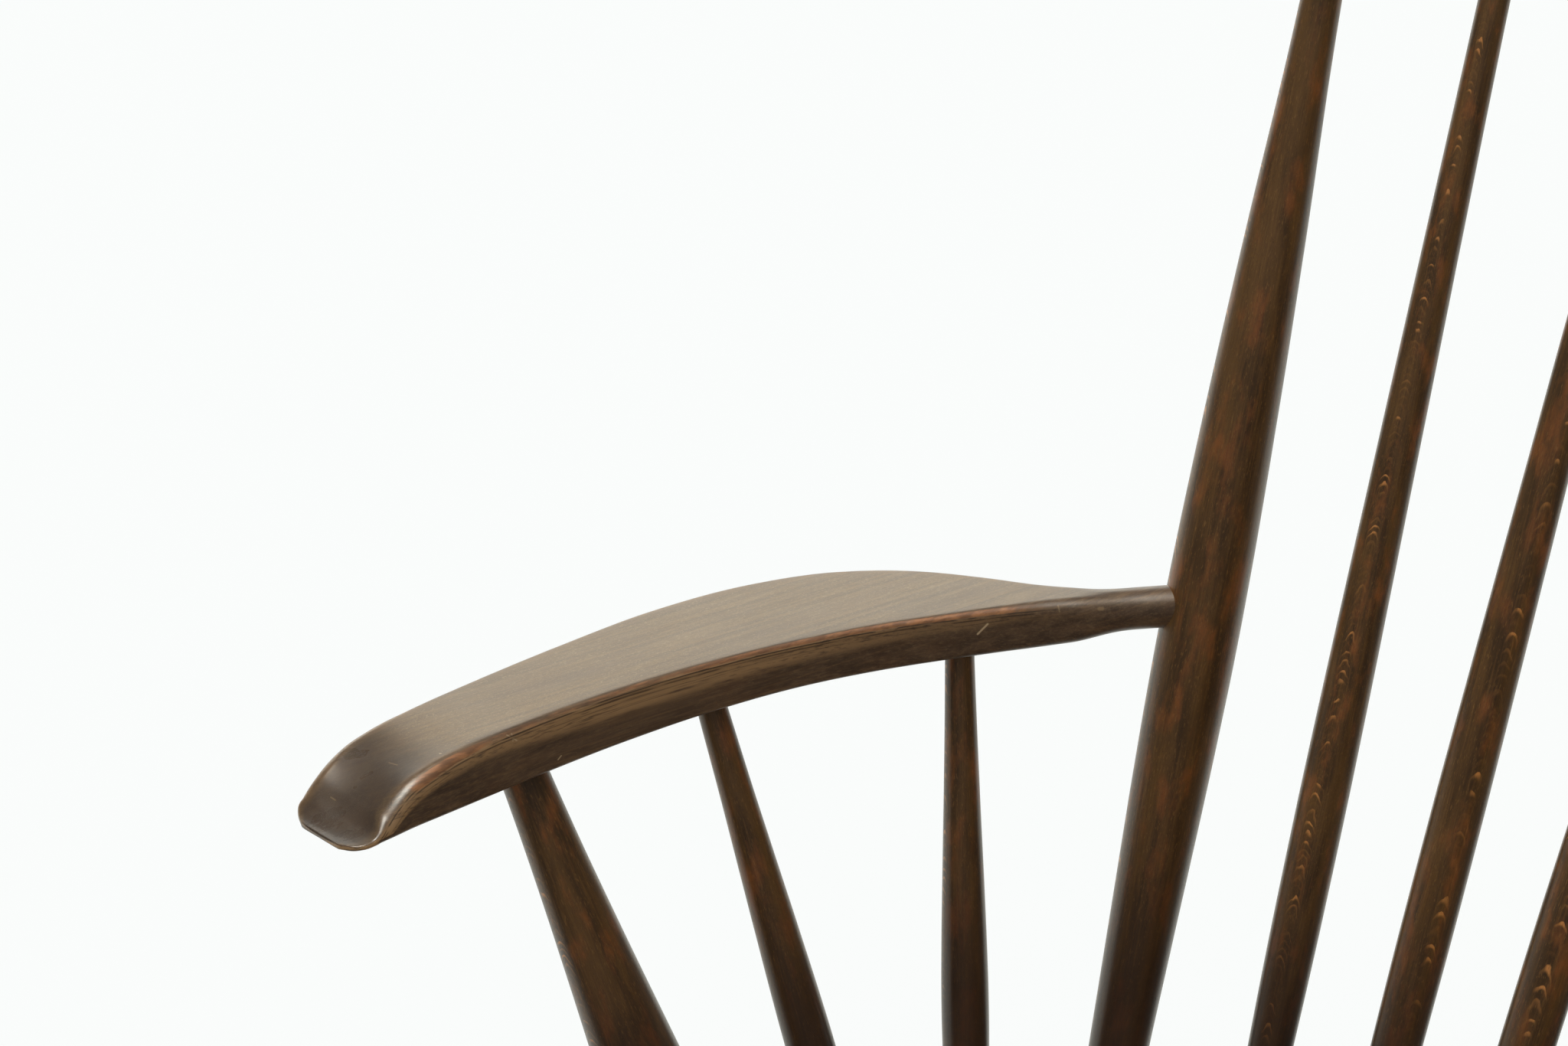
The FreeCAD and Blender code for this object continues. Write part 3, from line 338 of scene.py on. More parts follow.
def round_points(radius, middle):
    """The section as a circle, with its points in the same order."""
    flat_turn = 2 * ROUND_ANGLE
    corner_turn = math.pi / 2 - flat_turn
    angle = -math.pi / 2 - ROUND_ANGLE
    angles = []
    for key in SECTION_KEYS:
        turn = corner_turn if key == "corner" else flat_turn
        angles.append(angle + np.linspace(0, 1, SECTION_COUNTS[key], endpoint=False) * turn)
        angle += turn
    angles = np.concatenate(angles)
    return np.column_stack([radius * np.cos(angles), middle + radius * np.sin(angles)])


def section_mask(*stretches):
    """1 on the named stretches of a section, in the order of section_points."""
    return np.concatenate([np.full(SECTION_COUNTS[key], float(number in stretches))
                           for number, key in enumerate(SECTION_KEYS)])


def softened(mask, reach):
    """A mask of one section, spread to both sides over some of its points."""
    window = np.ones(2 * reach + 1) / (2 * reach + 1)
    return np.convolve(np.tile(mask, 3), window, "same")[len(mask):2 * len(mask)]


def laid(outline, centre, across, up):
    """A section's (across, up) pairs as points about its centre."""
    return centre + np.outer(outline[:, 0], across) + np.outer(outline[:, 1], up)


def drawn_in(left, radius):
    """How far the rounding of an end draws a side in, where so much length is left to the end."""
    return radius - np.sqrt(np.clip(radius ** 2 - np.clip(radius - left, 0, None) ** 2, 0, None))


def end_weighted(half, count, share):
    """Places from -half to half that lie closer together towards both ends, the more the larger share."""
    turned = half * np.sin(np.linspace(-math.pi / 2, math.pi / 2, count))
    return share * turned + (1 - share) * np.linspace(-half, half, count)


# The arm, as in the CAD but for its nose, with its places on the left half
ARM_TOP = 0.6294
ARM_TENON = 0.017
ARM_JOINT = (0.21659, 0.10528)
ARM_TENON_TURN = math.radians(28)
ARM_NECK = 0.026
ARM_TENON_DEPTH = 0.0045
ARM_LENGTH = 0.331
ARM_REACH = 0.074
ARM_WIDTH = 0.061
ARM_THICKNESS = 0.0232
ARM_ROUND = 0.0022
# Share of the length forward, share of the reach outward, heading in degrees, width and thickness as
# shares of the way from the tenon to the full blade, squareness of the upper and lower corners,
# drop of the top's edges, dish of its middle and further drop of its inner edge as shares of the
# section's thickness. The nose, from 0.84 on, follows the photo more closely than the CAD does: its
# scoop is up to 2.4 mm shallower, its lip flatter and its tip up to 2 mm wider
ARM_SHARES = (
    (0.000, 0.000, 28.0, 0.00, 0.00, 0.00, 0.00, 0.00, 0.00, 0.00),
    (0.050, 0.120, 29.0, 0.02, 0.30, 0.30, 0.30, 0.00, 0.00, 0.00),
    (0.100, 0.280, 30.0, 0.13, 0.48, 0.60, 0.60, 0.00, 0.00, 0.00),
    (0.150, 0.460, 29.0, 0.39, 0.49, 0.80, 0.80, 0.00, 0.00, 0.00),
    (0.211, 0.665, 23.0, 0.71, 0.50, 0.90, 0.90, 0.00, 0.00, 0.00),
    (0.284, 0.840, 16.0, 0.92, 0.52, 0.95, 0.95, 0.00, 0.00, 0.00),
    (0.380, 0.960, 7.5, 0.99, 0.52, 1.00, 1.00, 0.00, 0.00, 0.00),
    (0.500, 1.010, 1.0, 0.92, 0.67, 1.00, 1.00, 0.00, 0.00, 0.00),
    (0.630, 0.980, -5.0, 0.76, 0.88, 1.00, 1.00, 0.00, 0.00, 0.00),
    (0.750, 0.910, -9.0, 0.65, 1.00, 1.00, 1.00, 0.00, 0.00, 0.00),
    (0.840, 0.830, -11.0, 0.61, 0.92, 0.93, 1.00, 0.00, 0.01, 0.00),
    (0.890, 0.780, -12.0, 0.61, 0.78, 0.80, 1.00, 0.03, 0.04, 0.05),
    (0.930, 0.741, -13.0, 0.603, 0.70, 0.65, 1.00, 0.15, 0.06, 0.12),
    (0.960, 0.703, -14.0, 0.587, 0.66, 0.55, 1.00, 0.37, 0.07, 0.23),
    (0.978, 0.686, -14.0, 0.57, 0.66, 0.60, 1.00, 0.60, 0.05, 0.26),
    (0.991, 0.672, -13.0, 0.51, 0.66, 0.75, 1.00, 0.78, 0.02, 0.12),
    (0.999, 0.6575, -12.0, 0.367, 0.66, 0.90, 1.00, 0.87, 0.01, 0.03),
    (1.005, 0.648, -12.0, 0.16, 0.66, 1.00, 1.00, 0.90, 0.00, 0.00),
)
ARM_STATIONS = 330
NOSE_STATIONS = 50
NOSE_FROM = 0.95
TENON_RINGS = 20
TENON_RING_GAP = 0.001
TENON_STATION = -0.05
# Squareness of the corners over which a circle turns into the four-sided section
SECTION_BLEND = (0.0, 0.45)
# Extra rounding of the upper inner arris along the arm, by share of its length, in metres
INNER_ROUND_GROWTH = ((0.0, 0.0), (0.5, 0.0003), (0.8, 0.0009), (0.9, 0.0014), (0.97, 0.0014),
                      (1.01, 0.001))
# How far the arris is rubbed and how light the band under it is, by share of the arm's length
RUBBED_SHARES = ((0.0, 0.1), (0.12, 0.75), (0.4, 1.0), (0.52, 0.8), (0.7, 0.6), (0.8, 0.65), (0.86, 0.9),
                 (0.905, 1.0), (0.92, 0.75), (0.935, 0.3), (0.97, 0.1), (1.01, 0.5))
BAND_SHARES = ((0.0, 0.1), (0.2, 0.5), (0.4, 0.9), (0.6, 1.0), (0.95, 1.0), (1.01, 1.0))
# How far down the inner wall the band reaches, as a share of the wall and its upper corner
BAND_REACH_SHARES = ((0.0, 0.25), (0.4, 0.42), (0.7, 0.42), (0.8, 0.33), (0.88, 0.29), (0.93, 0.30),
                     (0.955, 0.36), (0.972, 0.7), (0.985, 1.4), (1.01, 1.5))
# The rubbed line along the inner arris, in points of the section to each side of its middle
RUBBED_POINTS = (1.6, 4.2)
# The band's soft upper edge, in points below the arris, and its lower one, as shares of its reach
BAND_START = (-0.5, 2)
BAND_END = (0.8, 1.2)
OUTER_WEAR = 0.15
OUTER_BAND = 0.6
# Shares of the length over which the tenon's finish turns into the blade's, and the top into the scoop
NECK_FADE = (0.0, 0.16)
SCOOP_FADE = (0.84, 0.93)
ARM_WAVES = ((0.05, 0.075 * MM), (0.011, 0.02 * MM))
ARM_SEED = 3
# Small bites out of the rubbed arris, as size and depth
ARRIS_NIBBLE = (0.006, 0.3 * MM)
NIBBLE_SEED = 17
# Two small rings that close the nose: size as a share of the last ring, and distance ahead
NOSE_TIP = ((0.8, 0.0003), (0.45, 0.0005))


def along(shares, stations):
    shares = np.array(shares)
    return smooth_through(shares[:, 0], shares[:, 1], stations)


def fitted_rounds(low_round, high_round, depth, width):
    """The lower and upper corner's radii, no larger than the section's side has room for."""
    low_round = min(low_round, depth * ROUND_LIMIT_SHARE, width * ROUND_LIMIT_SHARE)
    return low_round, min(high_round, (depth - low_round) * WALL_LIMIT_SHARE, width * ROUND_LIMIT_SHARE)


def arm_rings(side):
    """Rings of the arm from the end of its tenon to the tip of its nose, and each ring's station."""
    rows = np.array(ARM_SHARES)
    joint = np.array([ARM_JOINT[0] * side, ARM_JOINT[1]])
    forward = np.array([math.sin(ARM_TENON_TURN) * side, -math.cos(ARM_TENON_TURN)])
    neck = joint + forward * ARM_NECK
    nose_turn = np.sin(np.linspace(0, math.pi / 2, NOSE_STATIONS))
    stations = np.concatenate([np.linspace(0, NOSE_FROM, ARM_STATIONS, endpoint=False),
                               NOSE_FROM + (rows[-1, 0] - NOSE_FROM) * nose_turn])
    values = smooth_through(rows[:, 0], rows[:, 1:], stations)
    growth = along(INNER_ROUND_GROWTH, stations)
    circle = round_points(ARM_TENON / 2, ARM_TOP - ARM_TENON / 2)
    rings = []
    for station, row, wider in zip(stations, values, growth):
        outward, heading, fullness, body, square, low_square, drop, dish, lean = row
        heading = math.radians(heading)
        across = np.array([math.cos(heading) * side, math.sin(heading), 0])
        width = ARM_TENON + (ARM_WIDTH - ARM_TENON) * max(fullness, 0)
        thickness = ARM_TENON + (ARM_THICKNESS - ARM_TENON) * max(body, 0)
        depth = thickness * (1 - drop)
        lean = thickness * max(lean, 0)
        square, low_square = min(square, 1), min(low_square, 1)
        high_round = ARM_TENON / 2 + (ARM_ROUND - ARM_TENON / 2) * square
        low_round = ARM_TENON / 2 + (ARM_ROUND - ARM_TENON / 2) * low_square
        low_outer, high_outer = fitted_rounds(low_round, high_round, depth, width)
        low_inner, high_inner = fitted_rounds(low_round, high_round + wider, depth - lean, width)
        rounds = (low_outer, high_outer, high_inner, low_inner)
        outline = section_points(width, ARM_TOP - thickness, ARM_TOP - thickness * drop, rounds,
                                 thickness * max(dish, 0), lean)
        outline = circle + (outline - circle) * fade(square, *SECTION_BLEND)
        centre = np.array([neck[0] + ARM_REACH * outward * side, neck[1] - ARM_LENGTH * station, 0])
        rings.append(laid(outline, centre, across, (0, 0, 1)))
    tenon = [rings[0] - np.append(forward, 0) * back
             for back in np.linspace(ARM_NECK - ARM_TENON_DEPTH, TENON_RING_GAP, TENON_RINGS)]
    tip = rings[-1]
    middle = tip.mean(0)
    for shrink, ahead in NOSE_TIP:
        rings.append(middle + (tip - middle) * shrink + np.array([0, -ahead, 0]))
    stations = np.concatenate([np.full(TENON_RINGS, TENON_STATION), stations,
                               np.full(len(NOSE_TIP), rows[-1, 0])])
    return np.array(tenon + rings), stations


def make_arm(name, side):
    """An arm with its masks: wear, the light band, the upper side, the scoop and depth below the arris."""
    rings, stations = arm_rings(side)
    squared = fade(stations, *NECK_FADE)
    outward = outward_from(rings)
    spots = np.arange(SECTION_POINTS)
    below = spots - np.flatnonzero(section_mask(INNER_WALL))[0] + SECTION_COUNTS["corner"] / 2
    inner_arris = 1 - fade(np.abs(below), *RUBBED_POINTS)
    outer_arris = softened(section_mask(HIGH_OUTER), ARRIS_SPREAD)
    wear = (np.outer(squared * along(RUBBED_SHARES, stations), inner_arris)
            + np.outer(squared * OUTER_WEAR, outer_arris))
    reach = along(BAND_REACH_SHARES, stations)[:, None] * (SECTION_COUNTS["wall"] + SECTION_COUNTS["corner"])
    band = fade(below, *BAND_START) * (1 - fade(below, reach * BAND_END[0], reach * BAND_END[1]))
    band = (band * (squared * along(BAND_SHARES, stations))[:, None]
            + np.outer(squared * OUTER_BAND, outer_arris))
    run = np.cumsum(np.linalg.norm(rings - np.roll(rings, 1, 1), axis=2), 1)
    middle = int(spots[np.abs(below).argmin()])
    top, top_and_edge = (softened(section_mask(*parts), TOP_SPREAD) for parts in ((TOP,), (TOP, HIGH_OUTER)))
    masks = {"wear": wear, "band": band, "below": (run - run[:, middle:middle + 1]) / MM,
             "upper": np.outer(squared, top), "scoop": np.outer(fade(stations, *SCOOP_FADE), top_and_edge)}
    hand = hand_work(rings, ARM_WAVES, ARM_SEED + side, 2)
    cell, height = ARRIS_NIBBLE
    bites = np.clip(rough_noise(rings.reshape(-1, 3), cell, NIBBLE_SEED + side), 0, 1).reshape(wear.shape)
    rings = rings + (hand - SKIN - bites * wear * height)[:, :, None] * outward
    grain = np.stack([rings[:, :, 0] * side, rings[:, :, 2], -rings[:, :, 1] + GRAIN_SHIFT * side], -1)
    return ringed_mesh("carved_arm_" + name, rings, grain, masks)


# The seat, as in the CAD but for the soft rim and low pommel of its dish
SEAT_POINT = np.array((0.0, -0.1225, 0.415))
SEAT_TILT = math.radians(3)
SEAT_BACK = np.array((0.0, math.cos(SEAT_TILT), -math.sin(SEAT_TILT)))
SEAT_UP = np.array((0.0, math.sin(SEAT_TILT), math.cos(SEAT_TILT)))
SEAT_THICKNESS = 0.034
SEAT_TOP_ROUND = 0.007
SEAT_BEVEL = 0.011
SEAT_BEVEL_SOFTNESS = 0.0025
DISH_HALF_WIDTH = 0.196
DISH_HALF_LENGTH = 0.170
DISH_DEPTH = 0.009
DISH_BALL_HEIGHT = 0.060
DISH_BALL_LIFT = 0.044
DISH_BACK_SHIFT = 0.004
DISH_FLOOR_SOFTNESS = 0.0010
DISH_RIM_SOFTNESS = 0.0009
POMMEL_HEIGHT = 0.0034
POMMEL_HALF_WIDTH = 0.032
SEAT_AROUND = 320
SEAT_TOP_RINGS = 84
SEAT_BOTTOM_RINGS = 26
SEAT_EDGE_RINGS = 9
SEAT_WALL_RINGS = 6
SEAT_BEVEL_RINGS = 10
# The size of the innermost rings, and how far the bevel's upper edge is eased, as shares
MIDDLE_SHARE = 0.01
EASE_SHARE = 0.35
SEAT_WAVES = ((0.07, 0.10 * MM),)
SEAT_SEED = 21
SEAT_SKIN = 0.12 * MM
# The upper edge's wear, its share at the rear, and where it grows to the whole towards the front
SEAT_WEAR = 0.75
REAR_SHARE = 0.45
FRONT_RUN = (0.0, 0.15)
# Rings inside the edge that are worn with it, and the part of the edge's rounding that is wholly worn
WORN_RINGS_INSIDE = 2
WORN_SHARE = 0.3
# Where the pommel rises, forward of the middle
POMMEL_RUN = (0.112, 0.150)
SOCKET_CLEARANCE = 0.1 * MM
SOCKET_SIDES = 72
SOCKET_END_GAP = 0.3 * MM
# The legs' through sockets start so far below the legs' ends and are so long. The others are blind
LEG_SOCKET = (0.055, 0.085)
BLIND_SOCKET = 0.045
# A direction in which no socket runs
ASIDE = (1.0, 0.2, 0.1)
# The rays that find the seat's outline start so far from its middle
RAY_FROM = 0.6


def dish_height(across, back):
    """Height of the seat's top over its plane, never above it."""
    rim = math.sqrt(1 - (DISH_BALL_LIFT / DISH_BALL_HEIGHT) ** 2)
    reach = (across * rim / DISH_HALF_WIDTH) ** 2 + ((back - DISH_BACK_SHIFT) * rim / DISH_HALF_LENGTH) ** 2
    ball = DISH_BALL_LIFT - DISH_BALL_HEIGHT * np.sqrt(np.clip(1 - reach, 0, 1))
    floor = np.logaddexp(ball / DISH_FLOOR_SOFTNESS, -DISH_DEPTH / DISH_FLOOR_SOFTNESS) * DISH_FLOOR_SOFTNESS
    pommel = POMMEL_HEIGHT * np.exp(-(across / POMMEL_HALF_WIDTH) ** 2) * fade(-back, *POMMEL_RUN)
    return -np.logaddexp(-(floor + pommel) / DISH_RIM_SOFTNESS, 0) * DISH_RIM_SOFTNESS


def seat_outline():
    """The seat's plan as (across, back) pairs, met by rays on the CAD seat's wall."""
    tree = ray_tree(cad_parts["seat"].data)
    level = SEAT_POINT - SEAT_UP * SEAT_THICKNESS / 2
    outline = []
    for angle in np.arange(SEAT_AROUND) * 2 * math.pi / SEAT_AROUND:
        direction = np.array((1.0, 0, 0)) * math.cos(angle) + SEAT_BACK * math.sin(angle)
        hit = tree.ray_cast(Vector(level + direction * RAY_FROM), Vector(-direction))[0]
        reach = (np.array(hit) - level) @ direction
        outline.append((reach * math.cos(angle), reach * math.sin(angle)))
    return np.array(outline)


def seat_rings():
    """Rings of the seat from the middle of its top, over its edge, to the middle of its underside."""
    outline = seat_outline()
    run = np.roll(outline, -1, 0) - np.roll(outline, 1, 0)
    normal = unit(np.column_stack([run[:, 1], -run[:, 0]]))
    rings = []

    def add(plan, height):
        rings.append(laid(plan, SEAT_POINT, (1, 0, 0), SEAT_BACK) + np.outer(height, SEAT_UP))

    inner = outline - normal * SEAT_TOP_ROUND
    for share in np.linspace(MIDDLE_SHARE, 1, SEAT_TOP_RINGS, endpoint=False):
        plan = inner * share
        add(plan, dish_height(plan[:, 0], plan[:, 1]))
    rim = dish_height(inner[:, 0], inner[:, 1])
    ones = np.ones(len(outline))
    for turn in np.linspace(0, math.pi / 2, SEAT_EDGE_RINGS):
        plan = inner + normal * SEAT_TOP_ROUND * math.sin(turn)
        add(plan, rim * math.cos(turn) - ones * SEAT_TOP_ROUND * (1 - math.cos(turn)))
    wall_end = SEAT_THICKNESS - SEAT_BEVEL
    for depth in np.linspace(SEAT_TOP_ROUND, wall_end - SEAT_BEVEL_SOFTNESS, SEAT_WALL_RINGS)[1:]:
        add(outline, -ones * depth)
    for share in np.linspace(0, 1, SEAT_BEVEL_RINGS)[1:]:
        inset = SEAT_BEVEL * share - SEAT_BEVEL_SOFTNESS * EASE_SHARE * math.sin(math.pi * share)
        add(outline - normal * max(inset, 0), -ones * (wall_end + SEAT_BEVEL * share))
    floor = outline - normal * SEAT_BEVEL
    for share in np.linspace(1, MIDDLE_SHARE, SEAT_BOTTOM_RINGS)[1:]:
        add(floor * share, -ones * SEAT_THICKNESS)
    return np.array(rings)


def cylinder_faces(start, direction, radius, length, first):
    """Points and faces of a closed cylinder, its point numbers counted from first."""
    side = unit(np.cross(direction, ASIDE))
    rise = np.cross(direction, side)
    angles = np.arange(SOCKET_SIDES) * 2 * math.pi / SOCKET_SIDES
    spokes = (np.outer(np.cos(angles), side) + np.outer(np.sin(angles), rise)) * radius
    points = np.vstack([start + spokes, start + direction * length + spokes])
    spots = list(range(first, first + SOCKET_SIDES))
    faces = [[spots[n], spots[(n + 1) % SOCKET_SIDES], spots[(n + 1) % SOCKET_SIDES] + SOCKET_SIDES,
              spots[n] + SOCKET_SIDES] for n in range(SOCKET_SIDES)]
    faces.append(spots[::-1])
    faces.append([spot + SOCKET_SIDES for spot in spots])
    return points, faces


def bore(piece, cylinders):
    """Cuts round sockets, each a start, direction, radius and length, out of a piece."""
    points = np.zeros((0, 3))
    faces = []
    for start, direction, radius, length in cylinders:
        more_points, more_faces = cylinder_faces(start, direction, radius, length, len(points))
        points = np.vstack([points, more_points])
        faces += more_faces
    drill = add_mesh(piece.name + "_drill", points, faces)
    modifier = piece.modifiers.new("sockets", "BOOLEAN")
    modifier.operation = "DIFFERENCE"
    modifier.solver = "EXACT"
    modifier.object = drill
    graph = bpy.context.evaluated_depsgraph_get()
    cut_mesh = bpy.data.meshes.new_from_object(piece.evaluated_get(graph))
    cut_mesh.name = piece.name
    piece.modifiers.clear()
    piece.data = cut_mesh
    bpy.data.objects.remove(drill)
    smooth_shading(piece.data)


def make_seat(material, forms):
    """The dished plank, with a socket for each piece that stands in it."""
    rings = seat_rings()
    rings = rings + (hand_work(rings, SEAT_WAVES, SEAT_SEED) - SEAT_SKIN)[:, :, None] * SEAT_UP
    local = (rings - SEAT_POINT) @ SEAT_UP
    edge = fade(local, -SEAT_TOP_ROUND, -SEAT_TOP_ROUND * WORN_SHARE)
    number = np.arange(len(rings))[:, None]
    at_edge = (number >= SEAT_TOP_RINGS - WORN_RINGS_INSIDE) & (number < SEAT_TOP_RINGS + SEAT_EDGE_RINGS - 1)
    forward = fade(-(rings[:, :, 1] - SEAT_POINT[1]), *FRONT_RUN)
    wear = np.where(at_edge, edge * SEAT_WEAR, 0.0) * (REAR_SHARE + (1 - REAR_SHARE) * forward)
    grain = np.stack([rings[:, :, 0], rings[:, :, 2], rings[:, :, 1]], -1)
    piece = ringed_mesh("shaped_seat", rings, grain, {"wear": wear})
    sockets = []
    for node, (start, direction, _, _, profile, length) in forms.items():
        if "leg" in node:
            below, reach = LEG_SOCKET
            end = start + direction * length
            sockets.append((end - direction * below, direction, profile[-1, 1] + SOCKET_CLEARANCE, reach))
        elif "stretcher" not in node:
            low = start - direction * SOCKET_END_GAP
            sockets.append((low, direction, profile[0, 1] + SOCKET_CLEARANCE, BLIND_SOCKET))
    bore(piece, sockets)
    return dress(piece, material, "seat_wood", "seat")


# The crest rail, as in the CAD
CREST_HEIGHT = 1.005
CREST_LEAN = math.radians(19)
CREST_THICKNESS = 0.018
CREST_DEPTH = 0.064
CREST_OVERHANG = 0.024
CREST_ROUND = 0.004
CREST_STATIONS = 220
# Share of the half's length, lower and upper edge as shares of the depth
CREST_SHARES = (
    (0.00, 0.00, 1.00),
    (0.20, 0.00, 0.99),
    (0.40, 0.00, 0.96),
    (0.58, 0.00, 0.90),
    (0.74, 0.00, 0.82),
    (0.87, 0.00, 0.74),
    (0.94, 0.02, 0.68),
    (0.98, 0.07, 0.61),
    (1.00, 0.15, 0.52),
)
CREST_END_ROUND = 0.0035
# How much closer together the rings lie towards the ends, and how much the ends' sides are rounded
CREST_END_SHARE = 0.5
CREST_SIDE_SHARE = 0.8
CREST_WAVES = ((0.04, 0.07 * MM),)
CREST_SEED = 31
CREST_WEAR = 0.6
CREST_GRAIN_SHIFT = 1.9


def make_crest(material, forms):
    """The curved rail over the tops of the posts and spindles."""
    backs = [form for node, form in forms.items() if node.startswith(("back_post", "back_spindle"))]
    tops = [start + direction * ((CREST_HEIGHT - start[2]) / direction[2]) for start, direction, *_ in backs]
    tops = sorted(tops, key=lambda point: point[0])
    path = np.array([tops[0] + unit(tops[0] - tops[1]) * CREST_OVERHANG, *tops,
                     tops[-1] + unit(tops[-1] - tops[-2]) * CREST_OVERHANG])
    steps = np.concatenate([[0], np.cumsum(np.linalg.norm(np.diff(path, axis=0), axis=1))])
    half = steps[-1] / 2
    places = end_weighted(half, CREST_STATIONS, CREST_END_SHARE)
    centres = smooth_through(steps - half, path, places)
    runs = unit(np.gradient(centres, places, axis=0))
    lean_up = np.array((0, math.sin(CREST_LEAN), math.cos(CREST_LEAN)))
    edges = smooth_through([row[0] for row in CREST_SHARES], [row[1:] for row in CREST_SHARES],
                           np.abs(places) / half)
    rings = []
    for centre, run, place, (low, high) in zip(centres, runs, places, edges):
        up = unit(lean_up - run * (lean_up @ run))
        across = np.cross(up, run)
        shrink = drawn_in(half - abs(place), CREST_END_ROUND)
        low, high = CREST_DEPTH * low + shrink, CREST_DEPTH * high - shrink
        width = CREST_THICKNESS - 2 * shrink * CREST_SIDE_SHARE
        outline = section_points(width, low, high, [min(CREST_ROUND, width * ROUND_LIMIT_SHARE)] * 4)
        rings.append(laid(outline, centre, across, up))
    rings = np.array(rings)
    rings = rings + (hand_work(rings, CREST_WAVES, CREST_SEED) - SKIN)[:, :, None] * outward_from(rings)
    count, points = rings.shape[:2]
    wear = np.outer(np.ones(count), softened(section_mask(HIGH_OUTER, HIGH_INNER), ARRIS_SPREAD) * CREST_WEAR)
    grain = np.stack([rings[:, :, 1], rings[:, :, 2],
                      np.repeat(places[:, None], points, 1) + CREST_GRAIN_SHIFT], -1)
    piece = ringed_mesh("carved_crest_rail", rings, grain, {"wear": wear})
    bore(piece, [(start + direction * (length + SOCKET_END_GAP - BLIND_SOCKET), direction,
                  profile[-1, 1] + SOCKET_CLEARANCE, BLIND_SOCKET)
                 for start, direction, _, _, profile, length in backs])
    return dress(piece, material, "carved_wood", "crest_rail")


# The rockers, as in the CAD
ROCKER_SIDE = 0.221
ROCKER_HALF = 0.396
ROCKER_CONTACT = -0.0565
ROCKER_RADIUS = 1.010
ROCKER_THICKNESS = 0.028
ROCKER_MIDDLE_DEPTH = 0.044
ROCKER_END_DEPTH = 0.026
ROCKER_NOSE = 0.011
ROCKER_ROUND = 0.003
ROCKER_STATIONS = 260
ROCKER_END_SHARE = 0.45
ROCKER_WAVES = ((0.05, 0.08 * MM),)
ROCKER_SEED = 41
ROCKER_SKIN = 0.09 * MM
# Wear of the running edges, the running face and the upper edges
ROCKER_WEAR = (0.9, 0.8, 0.35)
# Wear away from the contact point, and the distances over which it falls to that
FAR_WEAR = 0.35
WEAR_RUN = (0.10, 0.30)
# How far the grain follows the rocker's curve, and the shift of the wood from one rocker to the other
GRAIN_FOLLOWS = 0.7
ROCKER_GRAIN_SHIFT = 1.3


def make_rocker(name, side, material):
    """A rocker: sawn to two arcs, its ends rounded and its edges softened."""
    places = end_weighted(ROCKER_HALF, ROCKER_STATIONS, ROCKER_END_SHARE)
    low = ROCKER_RADIUS - np.sqrt(ROCKER_RADIUS ** 2 - (places - ROCKER_CONTACT) ** 2)
    front, rear = low[0] + ROCKER_END_DEPTH, low[-1] + ROCKER_END_DEPTH
    # The upper arc runs through three known points
    known = np.array(((-ROCKER_HALF, front), (ROCKER_CONTACT, ROCKER_MIDDLE_DEPTH), (ROCKER_HALF, rear)))
    system = np.column_stack([2 * known, np.ones(3)])
    middle, height, rest = np.linalg.solve(system, (known ** 2).sum(1))
    radius = math.sqrt(rest + middle ** 2 + height ** 2)
    high = height - np.sqrt(radius ** 2 - (places - middle) ** 2)
    left = ROCKER_HALF - np.abs(places)
    inset = drawn_in(left, ROCKER_NOSE)
    rings = []
    for back, bottom, top, room in zip(places, low + inset, high - inset, left):
        width = ROCKER_THICKNESS - 2 * drawn_in(room, ROCKER_ROUND)
        reach = min(ROCKER_ROUND, (top - bottom) * ROUND_LIMIT_SHARE)
        outline = section_points(width, bottom, top, [reach] * 4)
        rings.append(laid(outline, (side * ROCKER_SIDE, back, 0), (side, 0, 0), (0, 0, 1)))
    rings = np.array(rings)
    hand = hand_work(rings, ROCKER_WAVES, ROCKER_SEED + side)
    above = 1 - section_mask(BOTTOM)
    rings = rings + ((hand - ROCKER_SKIN) * above)[:, :, None] * outward_from(rings)
    low_wear, face_wear, high_wear = ROCKER_WEAR
    rubbed = (softened(section_mask(LOW_OUTER, LOW_INNER), ARRIS_SPREAD) * low_wear
              + section_mask(BOTTOM) * face_wear
              + softened(section_mask(HIGH_OUTER, HIGH_INNER), ARRIS_SPREAD) * high_wear)
    touch = FAR_WEAR + (1 - FAR_WEAR) * (1 - fade(np.abs(places - ROCKER_CONTACT), *WEAR_RUN))
    wear = np.clip(np.outer(touch, rubbed), 0, 1)
    grain = np.stack([rings[:, :, 0], rings[:, :, 2] - low[:, None] * GRAIN_FOLLOWS,
                      rings[:, :, 1] + side * ROCKER_GRAIN_SHIFT], -1)
    piece = ringed_mesh("sawn_rocker_" + name, rings, grain, {"wear": wear})
    return dress(piece, material, "rocker_wood", "rocker_" + name)


def arithmetic(kind, turned=False):
    """A method of Field for one step of arithmetic. turned puts the field second."""
    def method(self, other=None):
        first, second = (other, self) if turned else (self, other)
        return self.graph.math(kind, first, second)
    return method


class Field:
    """A number that varies over a surface: a shader socket that takes ordinary arithmetic."""

    def __init__(self, graph, socket):
        self.graph = graph
        self.socket = socket

    __add__ = arithmetic("ADD")
    __sub__ = arithmetic("SUBTRACT")
    __rsub__ = arithmetic("SUBTRACT", turned=True)
    __mul__ = arithmetic("MULTIPLY")
    __truediv__ = arithmetic("DIVIDE")
    root = arithmetic("SQRT")
    size = arithmetic("ABSOLUTE")
    whole = arithmetic("FLOOR")
    part = arithmetic("FRACT")
    most = arithmetic("MAXIMUM")

    def within(self):
        """The same, held between 0 and 1."""
        return self.graph.math("MULTIPLY", self, 1.0, clamp=True)

    def steps(self, low, high):
        """0 at low, 1 at high, smooth between."""
        made = self.graph.node("ShaderNodeMapRange", {"Value": self, "From Min": low, "From Max": high},
                               interpolation_type="SMOOTHSTEP")
        return Field(self.graph, made.outputs["Result"])


